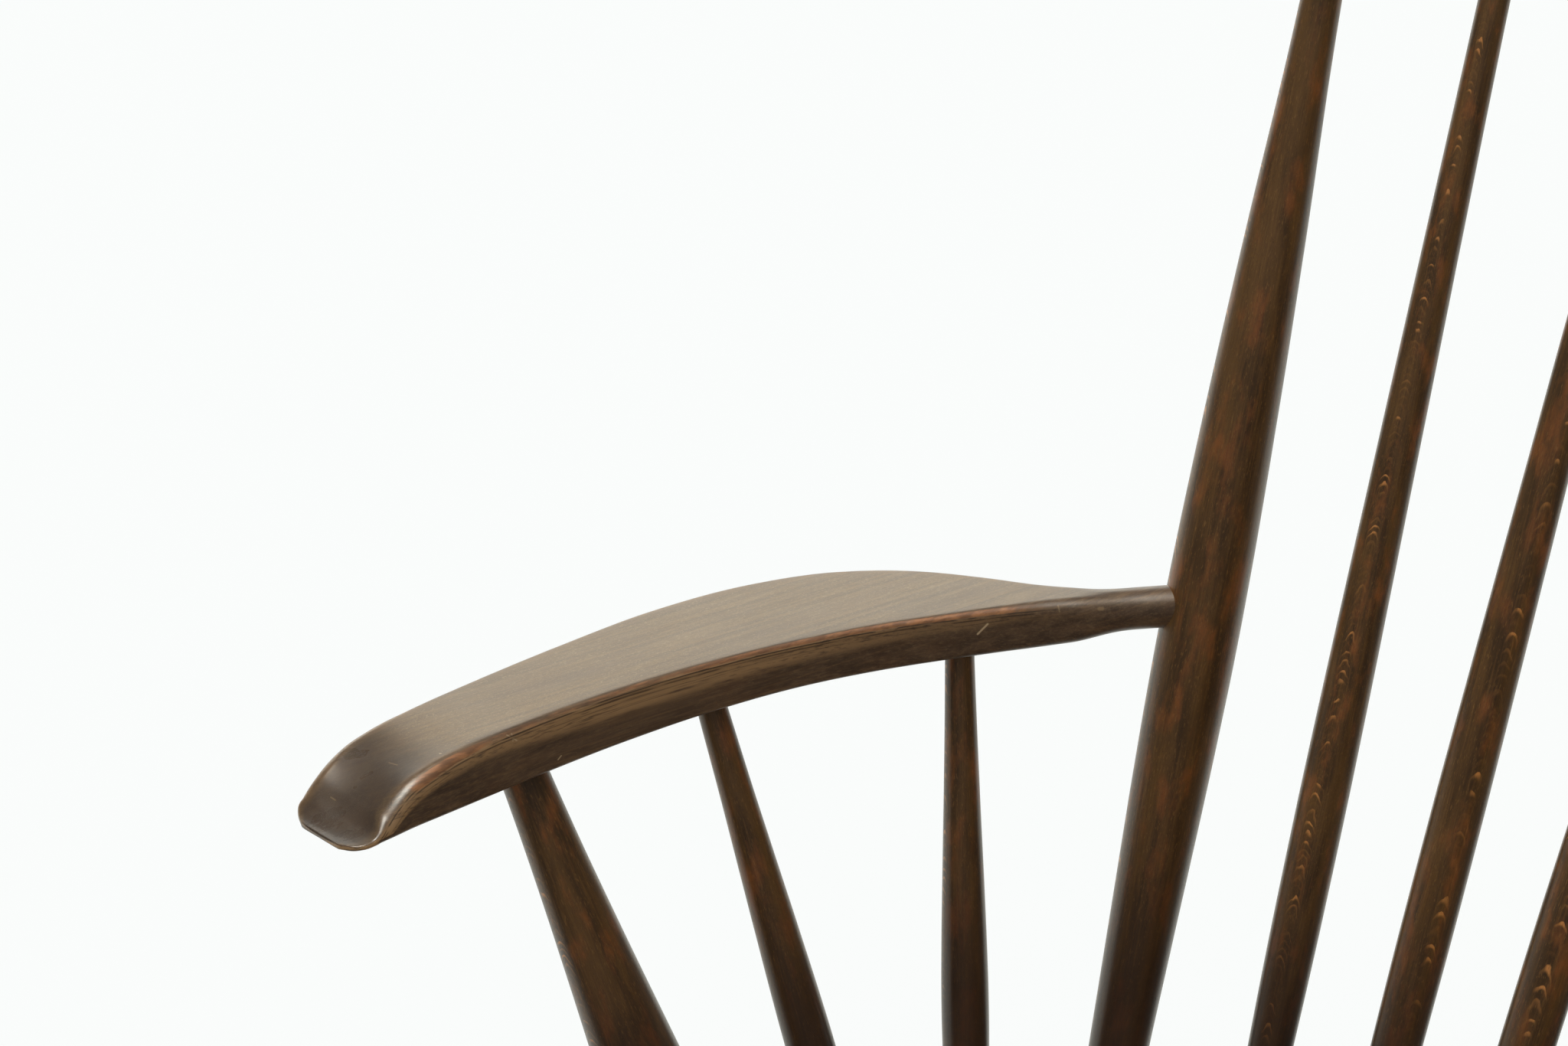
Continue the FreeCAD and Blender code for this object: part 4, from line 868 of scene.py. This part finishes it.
class Graph:
    """Adds shader nodes to a tree and joins them."""

    def __init__(self, tree):
        self.tree = tree

    def node(self, kind, inputs=None, **settings):
        """A new node with its settings, its inputs fed by name or number."""
        made = self.tree.nodes.new(kind)
        for key, value in settings.items():
            setattr(made, key, value)
        for key, value in (inputs or {}).items():
            if value is not None:
                self.feed(made.inputs[key], value)
        return made

    def feed(self, socket, value):
        if isinstance(value, Field):
            value = value.socket
        if isinstance(value, bpy.types.NodeSocket):
            self.tree.links.new(value, socket)
        else:
            socket.default_value = value

    def math(self, operation, first, second=None, clamp=False):
        made = self.node("ShaderNodeMath", {0: first, 1: second}, operation=operation, use_clamp=clamp)
        return Field(self, made.outputs[0])

    def vector(self, operation, first, second=None, scale=None):
        made = self.node("ShaderNodeVectorMath", {0: first, 1: second, "Scale": scale}, operation=operation)
        if operation in ("LENGTH", "DOT_PRODUCT"):
            return Field(self, made.outputs["Value"])
        return made.outputs["Vector"]

    def parts(self, vector):
        return [Field(self, output) for output in self.node("ShaderNodeSeparateXYZ", {0: vector}).outputs]

    def joined(self, x, y, z):
        return self.node("ShaderNodeCombineXYZ", {0: x, 1: y, 2: z}).outputs[0]

    def mix(self, share, first, second):
        """The first colour where the share is 0, the second where it is 1."""
        return self.node("ShaderNodeMix", {0: share, 6: first, 7: second}, data_type="RGBA").outputs[2]

    def layered(self, colour, layers):
        """The colour with others laid over it, each a share and a colour."""
        for share, tone in layers:
            colour = self.mix(share, colour, tone)
        return colour

    def noise(self, vector, across, along, detail=2.0, roughness=0.5):
        """Noise of a vector in millimetres, with features of such sizes across and along the grain."""
        stretched = self.vector("MULTIPLY", vector, (1.0 / across, 1.0 / across, 1.0 / along))
        made = self.node("ShaderNodeTexNoise", {"Vector": stretched, "Scale": 1.0, "Detail": detail,
                                                "Roughness": roughness})
        return Field(self, made.outputs["Fac"])

    def pattern(self, vector, name):
        """A pattern of the wood, from 0 where it is absent to 1."""
        across, along, detail, roughness, low, high = PATTERNS[name]
        return self.noise(vector, across, along, detail, roughness).steps(low, high)

    def chance(self, number):
        """A fixed random level for each whole number."""
        made = self.node("ShaderNodeTexWhiteNoise", {"W": number}, noise_dimensions="1D")
        return Field(self, made.outputs["Value"])

    def attribute(self, name):
        return Field(self, self.node("ShaderNodeAttribute", attribute_name=name).outputs["Fac"])

    def bump(self, height, strength, distance):
        made = self.node("ShaderNodeBump", {"Strength": strength, "Distance": distance, "Height": height})
        return made.outputs[0]


def rgb(red, green, blue):
    """A colour written in 8-bit sRGB, as a shader takes it."""
    def linear(level):
        share = level / 255
        return share / 12.92 if share <= 0.04045 else ((share + 0.055) / 1.055) ** 2.4
    return (linear(red), linear(green), linear(blue), 1.0)


# What each kind of stained wood is made of: its colours, sizes in millimetres, and shares of each mark.
# pith is how far the heart of the tree lies off the piece's middle, ring the space between its growth
# rings, line the part of that space that is late wood, tilt how much the rings lean along the piece
TURNED_LOOK = {
    # The turned wood also holds the colour of the painted shade at its lower ends
    "dark": rgb(69, 46, 18), "mid": rgb(97, 66, 25), "light": rgb(156, 110, 54), "painted_shade": rgb(38, 19, 9),
    "glow": rgb(142, 80, 26), "amber": rgb(214, 140, 66), "pore": rgb(36, 22, 11),
    "worn": rgb(166, 109, 62), "worn_dark": rgb(118, 76, 43),
    "broad_cells": (7.0, 55.0), "patch_cells": (8, 24), "wander": 1.6, "pith": (42.0, 0.0),
    "tilt": -0.10, "ring": 0.62, "ring_wander": 1.6, "ring_cells": (9, 14), "line": (0.55, 0.88),
    "face_rings": True, "glow_share": 0.75, "fine_share": 0.20, "ring_share": 0.85, "fleck_share": 0.35,
    "pore_share": 0.35, "rough": 0.42, "coat_rough": 0.26, "bump": 0.45,
}
CARVED_LOOK = dict(
    TURNED_LOOK, dark=rgb(66, 48, 33), mid=rgb(97, 74, 52), glow=rgb(112, 78, 48), light=rgb(136, 110, 80),
    amber=rgb(128, 96, 62), broad_cells=(4.5, 110.0), patch_cells=(14, 50), pith=(85.0, 85.0),
    tilt=0.012, ring=2.6, ring_cells=(9, 60), line=(0.55, 0.9), face_rings=False, glow_share=0.35,
    fine_share=0.45, ring_share=0.30, rough=0.46, coat_rough=0.33)
# The carved pieces have no painted shade
del CARVED_LOOK["painted_shade"]
# The seat looks like boards of this width, glued side by side
SEAT_LOOK = dict(CARVED_LOOK, board=128.0)
PIN_LOOK = dict(TURNED_LOOK, dark=rgb(58, 38, 22), mid=rgb(84, 56, 30), glow_share=0.1, ring_share=0.2,
                face_rings=False)
# In millimetres: how far apart in the wood two boards are cut, and how far off a second noise is read
BOARD_STEP = (17.3, 5.1, 211.7)
NOISE_ASIDE = (71.0, 13.0, 29.0)
# Noise in the wood: size across and along the grain in millimetres, then detail and roughness if unusual
NOISES = {
    "wander": (34, 130), "fine": (0.7, 26, 3.0, 0.6), "speck": (0.30, 0.55, 1.0), "film": (2.4, 5),
    "polish_patch": (14, 40, 3.0, 0.6), "painted_shade_edge": (8, 24, 3.0, 0.6), "rub": (3.2, 14, 4.0, 0.7),
    "line_sway": (9, 45, 2.0),
}
# The same for patterns, with the levels of the noise between which each fades in
PATTERNS = {
    "pore": (0.22, 1.4, 1.0, 0.5, 0.60, 0.70), "fleck": (0.45, 2.4, 1.0, 0.5, 0.62, 0.72),
    "mottle": (2, 9, 3.0, 0.6, 0.4, 0.65), "arc_patch": (30, 14, 1.0, 0.5, 0.40, 0.62),
    "ring_patch": (7, 30, 2.0, 0.5, 0.42, 0.60), "top_streak": (2.6, 120, 3.0, 0.6, 0.35, 0.68),
    "top_fine": (0.6, 18, 3.0, 0.6, 0.45, 0.72), "top_speck": (0.45, 0.9, 1.0, 0.5, 0.58, 0.68),
    "top_grit": (1.0, 2.0, 2.0, 0.7, 0.54, 0.40), "top_cloud": (16, 50, 3.0, 0.6, 0.25, 0.6),
    "band": (1.4, 34, 3.0, 0.6, 0.24, 0.50), "band_line": (0.55, 60, 1.0, 0.5, 0.58, 0.68),
    "line_gap": (4, 26, 2.0, 0.5, 0.38, 0.52),
}
# Levels of noise between which broad streaks, glowing patches, light and dark fine streaks fade in
BROAD_RANGE = (0.34, 0.66)
GLOW_RANGE = (0.48, 0.72)
LIGHT_RANGE = (0.45, 0.75)
DARK_RANGE = (0.50, 0.25)
# The late wood of a ring ends between these parts of it
RING_END = (0.93, 1.0)
# Arcs that rings draw on a turned face: the strength and least strength of their legs, how far to the
# side those reach, which rings have a bright tip, how far that reaches and its strength
ARC_STRENGTH = 0.6
ARC_LEAST = 0.05
ARC_WIDTH = (0.14, 0.32)
TIP_RANGE = (0.25, 0.75)
TIP_WIDTH = (0.04, 0.15)
TIP_STRENGTH = 0.8
# Distance from the middle over which a turned piece's face begins, in millimetres
FACE_RANGE = (-1.0, 3.0)
# Worn stain: how strongly wear counts, what it has to outweigh, its soft edge and its strength
WEAR_GAIN = 1.15
WEAR_LIMIT = 1.02
WEAR_EDGE = (0.0, 0.42)
WORN_STRENGTH = 0.85
# The painted shade of the lower ends: how ragged its edge is, and its strength
PAINTED_SHADE_RAGGED = 0.35
PAINTED_SHADE_STRENGTH = 0.82
# What patches, pores and rubbed edges add to the roughness
PATCH_ROUGH = 0.22
PORE_ROUGH = 0.12
RUB_ROUGH = 0.08
# Heights in the surface as shares of its depth, then the depths of the surface and of the film over it
PORE_SHARE = -0.9
SPECK_SHARE = 0.7
FINE_SHARE = 0.5
RUB_SHARE = 0.8
SURFACE_DEPTH = 0.06 * MM
FILM_DEPTH = 0.05 * MM
FILM_SHARE = 0.6
FILM_FOLLOW_SHARE = 0.5
FILM_BUMP_SHARE = 0.8
LACQUER_IOR = 1.45


def growth_rings(graph, place, bent, look):
    """Thin late-wood lines about a far pith, leaning a little, seen in patches."""
    x, y, z = graph.parts(bent)
    pith_x, pith_y = look["pith"]
    out = x + pith_x + z * look["tilt"]
    over = y + pith_y
    reach = (out * out + over * over).root()
    reach = reach + graph.noise(place, *look["ring_cells"], 2.0) * look["ring_wander"]
    phase = (reach / look["ring"]).part()
    start, end = look["line"]
    line = phase.steps(start, end) * (1.0 - phase.steps(*RING_END))
    if look["face_rings"]:
        group = graph.pattern(place, "arc_patch")
        level = graph.chance((reach / look["ring"]).whole())
        level = level * level
        flank = y.size() / (x * x + y * y).root()
        legs = line * (level * group * ARC_STRENGTH + ARC_LEAST) * (1.0 - flank.steps(*ARC_WIDTH))
        tip = line * level.steps(*TIP_RANGE) * (1.0 - flank.steps(*TIP_WIDTH))
        return (legs + tip * TIP_STRENGTH).within() * x.steps(*FACE_RANGE)
    return line * graph.pattern(place, "ring_patch")


def streaked_colour(graph, place, bent, look, line, pore):
    """The stained wood's colour, and the fine streaks that its surface follows."""
    fine = graph.noise(bent, *NOISES["fine"])
    broad = graph.noise(bent, *look["broad_cells"], 3.0, 0.6)
    patch = graph.noise(place, *look["patch_cells"], 4.0, 0.62)
    fleck = graph.pattern(place, "fleck")
    colour = graph.mix(broad.steps(*BROAD_RANGE), look["dark"], look["mid"])
    shares = ((patch.steps(*GLOW_RANGE) * look["glow_share"], "glow"),
              (fine.steps(*LIGHT_RANGE) * look["fine_share"], "light"),
              (fine.steps(*DARK_RANGE) * look["fine_share"], "dark"), (line * look["ring_share"], "amber"),
              (fleck * look["fleck_share"], "light"), (pore * look["pore_share"], "pore"))
    return graph.layered(colour, ((share, look[tone]) for share, tone in shares)), fine


def rubbed_edge(graph, place, worn):
    """How far the stain has worn off, ragged along the grain."""
    return (worn * WEAR_GAIN + graph.noise(place, *NOISES["rub"]) - WEAR_LIMIT).steps(*WEAR_EDGE)


def own_grain(graph):
    """The wood's coordinates that a dressed piece carries."""
    return graph.node("ShaderNodeAttribute", attribute_name="grain").outputs["Vector"]


def object_grain(graph):
    """The wood's coordinates of a CAD node that keeps its mesh."""
    return graph.node("ShaderNodeTexCoord").outputs["Object"]


def stained_wood(name, look, grain_from=own_grain, extra=None):
    """Stained beech under lacquer: growth rings, streaks, ray flecks, pores, patches and rubbed edges."""
    material = bpy.data.materials.new(name)
    material.use_nodes = True
    graph = Graph(material.node_tree)
    shader = material.node_tree.nodes["Principled BSDF"]
    place = graph.vector("SCALE", grain_from(graph), scale=1 / MM)
    if "board" in look:
        across = graph.parts(place)[0]
        board = (across / look["board"] + 0.5).whole()
        place = graph.vector("ADD", place, graph.joined(*(board * step for step in BOARD_STEP)))
    wander = graph.noise(place, *NOISES["wander"]) - 0.5
    aside = graph.noise(graph.vector("ADD", place, NOISE_ASIDE), *NOISES["wander"]) - 0.5
    bent = graph.vector("ADD", place, graph.joined(wander * look["wander"], aside * look["wander"], 0.0))
    pore = graph.pattern(place, "pore")
    speck = graph.noise(place, *NOISES["speck"])
    line = growth_rings(graph, place, bent, look)
    colour, fine = streaked_colour(graph, place, bent, look, line, pore)
    roughness = (graph.noise(place, *NOISES["polish_patch"]) - 0.5) * PATCH_ROUGH + look["rough"]
    # Painted shade, darker towards the lower end, with a ragged edge
    if "painted_shade" in look:
        ragged = graph.attribute("painted_shade") + (graph.noise(place, *NOISES["painted_shade_edge"]) - 0.5) * PAINTED_SHADE_RAGGED
        colour = graph.mix(ragged.steps(0.0, 1.0) * PAINTED_SHADE_STRENGTH, colour, look["painted_shade"])
    if extra is not None:
        colour, roughness = extra(graph, place, bent, colour, roughness)
    rub = rubbed_edge(graph, place, graph.attribute("wear"))
    bare = graph.mix(graph.pattern(place, "mottle"), look["worn_dark"], look["worn"])
    colour = graph.mix(rub * WORN_STRENGTH, colour, bare)
    graph.feed(shader.inputs["Base Color"], colour)
    graph.feed(shader.inputs["Roughness"], (roughness + pore * PORE_ROUGH + rub * RUB_ROUGH).within())
    for key, value in (("IOR", LACQUER_IOR), ("Coat IOR", LACQUER_IOR), ("Coat Weight", 1.0),
                       ("Coat Roughness", look["coat_rough"])):
        shader.inputs[key].default_value = value
    height = pore * PORE_SHARE + speck * SPECK_SHARE + fine * FINE_SHARE - rub * RUB_SHARE
    graph.feed(shader.inputs["Normal"], graph.bump(height, look["bump"], SURFACE_DEPTH))
    film = graph.noise(place, *NOISES["film"]) * FILM_SHARE + height * FILM_FOLLOW_SHARE
    film = graph.bump(film, look["bump"] * FILM_BUMP_SHARE, FILM_DEPTH)
    graph.feed(shader.inputs["Coat Normal"], film)
    return material


# The arm's top: paler where hands and sleeves have polished it, and painted paler still as the sheen it
# catches; dark again in the nose's scoop, where a darker, greyer colour is painted as its dark reflection
POLISHED_SHEEN = rgb(136, 108, 67)
POLISHED_SHEEN_PALE = rgb(165, 142, 102)
POLISHED_SHEEN_DARK = rgb(110, 86, 56)
# The scoop's colour, darker and greyer than its wood: a painted dark reflection
SCOOP_DARK_REFLECTION = rgb(58, 47, 38)
BAND = rgb(174, 136, 92)
# Strengths of the top's fine streaks, specks, grit and clouds, and of the layers laid over the wood
FINE_STRENGTH = 0.22
SPECK_STRENGTH = 0.6
GRIT_STRENGTH = 0.35
CLOUD_STRENGTH = 0.35
POLISH_SHEEN_STRENGTH = 0.85
SCOOP_STRENGTH = 0.7
BAND_STRENGTH = 0.85
BAND_LINE_STRENGTH = 0.5
# How much smoother the scoop is
SCOOP_SHINE = 0.16
# Thin dark lines of grain below the inner arris: depth and width in millimetres, strength
ARRIS_LINES = ((1.5, 0.30, 0.85), (2.6, 0.34, 0.7), (4.3, 0.26, 0.45))
# How far they sway, how far apart their gaps are read, their soft edge and the band's part that has them
LINE_SWAY = 1.6
LINE_STEP = 40
LINE_EDGE_SHARES = (0.4, 1.2)
LINED_RANGE = (0.05, 0.3)


def arm_finish(marks):
    """Adds the polished top with painted sheen, the scoop with a painted dark reflection, the light band
    under the arris and the marks of use.
    """
    def finish(graph, place, bent, colour, roughness):
        upper, scoop, band = (graph.attribute(name) for name in ("upper", "scoop", "band"))
        # The top's colour: polished wood, painted paler as the sheen the top catches
        top = graph.mix(graph.pattern(bent, "top_streak"), POLISHED_SHEEN_DARK, POLISHED_SHEEN)
        top = graph.layered(top, ((graph.pattern(bent, "top_fine") * FINE_STRENGTH, POLISHED_SHEEN_PALE),
                                  (graph.pattern(place, "top_speck") * SPECK_STRENGTH, POLISHED_SHEEN_PALE),
                                  (graph.pattern(place, "top_grit") * GRIT_STRENGTH, POLISHED_SHEEN_DARK)))
        cloud = graph.pattern(place, "top_cloud") * CLOUD_STRENGTH + (1.0 - CLOUD_STRENGTH)
        # Where the polish and the painted sheen lie
        polish_and_sheen = upper * (1.0 - scoop) * cloud
        pore = CARVED_LOOK["pore"]
        # The polished top with its painted sheen, then the scoop's painted dark reflection
        layers = [(polish_and_sheen * POLISH_SHEEN_STRENGTH, top), (upper * scoop * SCOOP_STRENGTH, SCOOP_DARK_REFLECTION),
                  (band * graph.pattern(bent, "band") * BAND_STRENGTH, BAND),
                  (band * graph.pattern(bent, "band_line") * BAND_LINE_STRENGTH, pore)]
        below = graph.attribute("below") + (graph.noise(place, *NOISES["line_sway"]) - 0.5) * LINE_SWAY
        for depth, width, share in ARRIS_LINES:
            moved = graph.vector("ADD", place, (depth * LINE_STEP, 0, 0))
            away = (below - depth).size().steps(*(width * edge for edge in LINE_EDGE_SHARES))
            line = (1.0 - away) * graph.pattern(moved, "line_gap") * band.steps(*LINED_RANGE)
            layers.append((line * share, pore))
        layers += [(mark(graph, start, end, width) * share, tone) for start, end, width, share, tone in marks]
        return graph.layered(colour, layers), roughness - scoop * SCOOP_SHINE
    return finish


def mark(graph, start, end, width):
    """1 on a short scratch between two points of the object, fading over its width."""
    run = np.array(end) - np.array(start)
    point = graph.node("ShaderNodeTexCoord").outputs["Object"]
    away = graph.vector("SUBTRACT", point, tuple(start))
    share = graph.vector("DOT_PRODUCT", away, tuple(run / (run @ run))).within()
    nearest = graph.vector("SCALE", tuple(run), scale=share)
    distance = graph.vector("LENGTH", graph.vector("SUBTRACT", away, nearest))
    return 1.0 - distance.steps(*(width * share for share in MARK_EDGE_SHARES))


# Marks of use on the right arm: pixels of both ends, width in metres, strength and colour
PALE_MARK = rgb(206, 180, 140)
DULL_MARK = rgb(150, 122, 86)
MARK_EDGE_SHARES = (0.25, 0.75)
ARM_MARKS = (
    ((1277, 828), (1290, 815), 0.8 * MM, 0.9, PALE_MARK),
    ((1436, 795), (1440, 795), 1.5 * MM, 0.7, DULL_MARK),
    ((1382, 791), (1384, 799), 0.6 * MM, 0.6, DULL_MARK),
    ((508, 996), (519, 999), 0.5 * MM, 0.55, DULL_MARK),
    ((662, 960), (675, 967), 0.5 * MM, 0.7, PALE_MARK),
    ((668, 958), (670, 968), 0.4 * MM, 0.6, PALE_MARK),
    ((729, 992), (733, 987), 0.5 * MM, 0.7, PALE_MARK),
    ((432, 1041), (438, 1045), 0.5 * MM, 0.5, DULL_MARK),
    ((574, 984), (576, 984), 0.5 * MM, 0.7, PALE_MARK),
)


def marks_on(piece, marks):
    """The marks' ends, cast from the camera onto the piece."""
    tree = ray_tree(piece.data)

    def meet(pixel):
        across = (pixel[0] - PHOTO_SIZE[0] / 2) / FOCAL_PIXELS
        up = (PHOTO_SIZE[1] / 2 - pixel[1]) / FOCAL_PIXELS
        return tree.ray_cast(CAMERA_PLACE, CAMERA_TURN @ Vector((across, up, -1)))[0]

    placed = []
    for first, second, *rest in marks:
        start, end = meet(first), meet(second)
        if start and end:
            placed.append((tuple(start), tuple(end), *rest))
    return placed


def set_camera():
    data = bpy.data.cameras.new("camera")
    data.sensor_width = SENSOR_WIDTH_MM
    data.lens = SENSOR_WIDTH_MM * FOCAL_PIXELS / PHOTO_SIZE[0]
    data.clip_start, data.clip_end = CAMERA_CLIP
    camera = add_object("camera", data)
    camera.location = CAMERA_PLACE
    camera.rotation_mode = "QUATERNION"
    camera.rotation_quaternion = CAMERA_TURN
    bpy.context.scene.camera = camera


# The studio: white paper under and behind the chair, a darker room on the photo's near side
BACKDROP = rgb(252, 254, 253)
# The paper as gloss shows it, and the duller paper that lights the chair from below
WARM_PAPER = rgb(249, 249, 239)
PAPER_UNLIT = (0.38, 0.38, 0.375, 1.0)
# The level of the surround's soft light, and that of the dark room in the gloss
FILL_LEVEL = 0.44
DARK_SIDE = 0.06
FAR_SIDE = Vector((CAMERA_VIEW.x, CAMERA_VIEW.y, 0)).normalized()
# The lit far paper: its level, how far it reaches to the sides, where it ends above, and its duller foot
FAR_PAPER_LEVEL = 2.0
FAR_PAPER_SIDES = (0.58, 0.84)
FAR_PAPER_TOP = (math.sin(math.radians(28)), math.sin(math.radians(40)))
FAR_PAPER_FOOT = (math.sin(math.radians(6)), math.sin(math.radians(17)))
FOOT_LEVEL = 0.45
# One lamp over the room, which shows in the gloss of rounded edges
LAMP_TOWARD = Vector((0.12, -0.22, 0.97)).normalized()
LAMP_EDGE = (math.cos(math.radians(16)), math.cos(math.radians(9)))
LAMP_LEVEL = 27.0
# The floor in the gloss: its level, and where it turns dark, in metres towards the camera
PAPER_GLOSS = 0.75
PAPER_EDGE = (-0.60, -0.15)
# On the photo's left side the lit floor comes nearer, by this share of the way to the left
LEFT_SIDE = Vector((-FAR_SIDE.y, FAR_SIDE.x, 0))
LEFT_SHARE = 0.35
FLOOR_HALF = 12.0
# The share of the floor's white that is its own glow, which thins the shadows on it
FLOOR_GLOW = 0.78


def ray_kinds(graph):
    """1 for glossy rays, and 1 for rays that see a thing directly or through glass."""
    rays = graph.node("ShaderNodeLightPath").outputs
    glossy, camera, through = (Field(graph, rays[key]) for key in (
        "Is Glossy Ray", "Is Camera Ray", "Is Transmission Ray"))
    return glossy, camera.most(through)


def set_world():
    """A white surround. Glossy rays meet the darker room on the near side, as in a studio."""
    world = bpy.data.worlds.new("studio")
    bpy.context.scene.world = world
    world.use_nodes = True
    graph = Graph(world.node_tree)
    background = world.node_tree.nodes["Background"]
    direction = graph.node("ShaderNodeTexCoord").outputs["Generated"]
    toward = graph.vector("DOT_PRODUCT", direction, tuple(FAR_SIDE))
    height = graph.parts(direction)[2]
    paper = toward.steps(*FAR_PAPER_SIDES) * (1.0 - height.steps(*FAR_PAPER_TOP))
    paper = paper * (height.steps(*FAR_PAPER_FOOT) * (1.0 - FOOT_LEVEL) + FOOT_LEVEL)
    lamp = graph.vector("DOT_PRODUCT", direction, tuple(LAMP_TOWARD)).steps(*LAMP_EDGE)
    gloss = paper * (FAR_PAPER_LEVEL - DARK_SIDE) + DARK_SIDE + lamp * LAMP_LEVEL
    glossy, seen = ray_kinds(graph)
    level = glossy * (gloss - FILL_LEVEL) + FILL_LEVEL
    level = level + seen * (1.0 - level)
    graph.feed(background.inputs["Color"], graph.mix(glossy, BACKDROP, WARM_PAPER))
    graph.feed(background.inputs["Strength"], level)


def set_floor():
    """A wide sheet of white paper, which gloss shows lit at the far side and dark at the near one."""
    corners = [(-1, -1), (1, -1), (1, 1), (-1, 1)]
    mesh = bpy.data.meshes.new("floor")
    mesh.from_pydata([(x * FLOOR_HALF, y * FLOOR_HALF, 0) for x, y in corners], [], [(0, 1, 2, 3)])
    floor = add_object("floor", mesh)
    material = bpy.data.materials.new("floor_paper")
    material.use_nodes = True
    tree = material.node_tree
    tree.nodes.remove(tree.nodes["Principled BSDF"])
    graph = Graph(tree)
    glossy, clear = ray_kinds(graph)
    place = graph.node("ShaderNodeTexCoord").outputs["Object"]
    nearer = graph.vector("DOT_PRODUCT", place, tuple(-FAR_SIDE))
    left = graph.vector("DOT_PRODUCT", place, tuple(LEFT_SIDE)).most(0.0)
    nearer = (nearer - left * LEFT_SHARE).steps(*PAPER_EDGE)
    shown = nearer * (DARK_SIDE - PAPER_GLOSS) + PAPER_GLOSS
    paper = graph.node("ShaderNodeBsdfDiffuse", {"Color": graph.mix(clear, PAPER_UNLIT, BACKDROP)})
    glow = graph.node("ShaderNodeEmission", {"Color": graph.mix(glossy, BACKDROP, WARM_PAPER),
                                             "Strength": glossy * (shown - 1.0) + 1.0})
    blend = graph.node("ShaderNodeMixShader", {0: clear * FLOOR_GLOW + glossy, 1: paper.outputs[0],
                                               2: glow.outputs[0]})
    graph.feed(tree.nodes["Material Output"].inputs["Surface"], blend.outputs[0])
    mesh.materials.append(material)


def add_soft_sun(name, toward, spread, strength):
    """A wide soft light without falloff, from the direction given."""
    data = bpy.data.lights.new(name, "SUN")
    data.angle = spread
    data.energy = strength
    lamp = add_object(name, data)
    lamp.visible_glossy = False
    lamp.location = Vector(toward) * SUN_DISTANCE
    lamp.rotation_mode = "QUATERNION"
    lamp.rotation_quaternion = (-Vector(toward)).to_track_quat("-Z", "Y")


# A sun's place has no effect on its light. It only stands clear of the chair
SUN_DISTANCE = 3.0
# Name, direction, spread and strength
SOFT_SUNS = (
    ("overhead", (-0.30, 0.25, 1.0), math.radians(70), 1.35),
    ("left_window", (-0.45, -0.95, 0.75), math.radians(50), 0.42),
    ("near_fill", (0.75, -0.65, 0.30), math.radians(60), 0.24),
)

set_camera()
set_world()
set_floor()
for sun in SOFT_SUNS:
    add_soft_sun(*sun)

# Points round each kind of turned piece
TURNED_AROUND = {"back_post": 96, "back_spindle": 72, "arm_post": 96, "arm_spindle": 72,
                 "front_leg": 80, "rear_leg": 80, "side_stretcher": 56, "cross_stretcher": 56}
# How much closer the grain of a piece is
FINENESS = {"back_spindle_1": 1.6}
# How far the heart of the wood is turned from the camera's side, where the photo shows it
SPINS = {"back_post_right": 1.35, "back_spindle_1": 0.30, "back_spindle_2": -0.35, "back_spindle_3": 0.1,
         "arm_post_right": 1.1, "arm_spindle_middle_right": 1.5, "arm_spindle_rear_right": 1.2}
# Elsewhere it swings from piece to piece: how far, and by which step of the angle
SPIN_SWING = 0.5
SPIN_STEP = 2.4

turned_wood = stained_wood("turned_beech", TURNED_LOOK)
turned_nodes = sorted(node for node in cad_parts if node.startswith(tuple(TURNED_AROUND)))
forms = {node: turned_form(node) for node in turned_nodes}
for number, node in enumerate(turned_nodes, 1):
    around = next(count for start, count in TURNED_AROUND.items() if node.startswith(start))
    level = (SEAT_POINT, SEAT_UP) if "leg" in node else None
    spin = SPINS.get(node, SPIN_SWING * math.sin(number * SPIN_STEP))
    # The posts and spindles that stand in the seat get painted shade towards their lower ends
    painted_shade = node.startswith(("back_", "arm_"))
    turn_piece(node, forms[node], around, turned_wood, number, spin, FINENESS.get(node, 1.0), level, painted_shade)

carved_wood = stained_wood("carved_beech", CARVED_LOOK)
for name, side in SIDES.items():
    arm = make_arm(name, side)
    marks = marks_on(arm, ARM_MARKS) if name == "right" else []
    arm_wood = stained_wood("arm_beech_" + name, CARVED_LOOK, extra=arm_finish(marks))
    dress(arm, arm_wood, "carved_wood", "arm_" + name)
seat_wood = stained_wood("seat_beech", SEAT_LOOK)
make_seat(seat_wood, forms)
make_crest(carved_wood, forms)
rocker_wood = stained_wood("rocker_beech", CARVED_LOOK)
for name, side in SIDES.items():
    make_rocker(name, side, rocker_wood)

pin_wood = stained_wood("pin_beech", PIN_LOOK, object_grain)
for node in ("leg_wedges", "rocker_pins", "crest_pins"):
    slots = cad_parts[node].data.materials
    slots.clear()
    slots.append(pin_wood)

bpy.context.scene.view_settings.view_transform = "Standard"
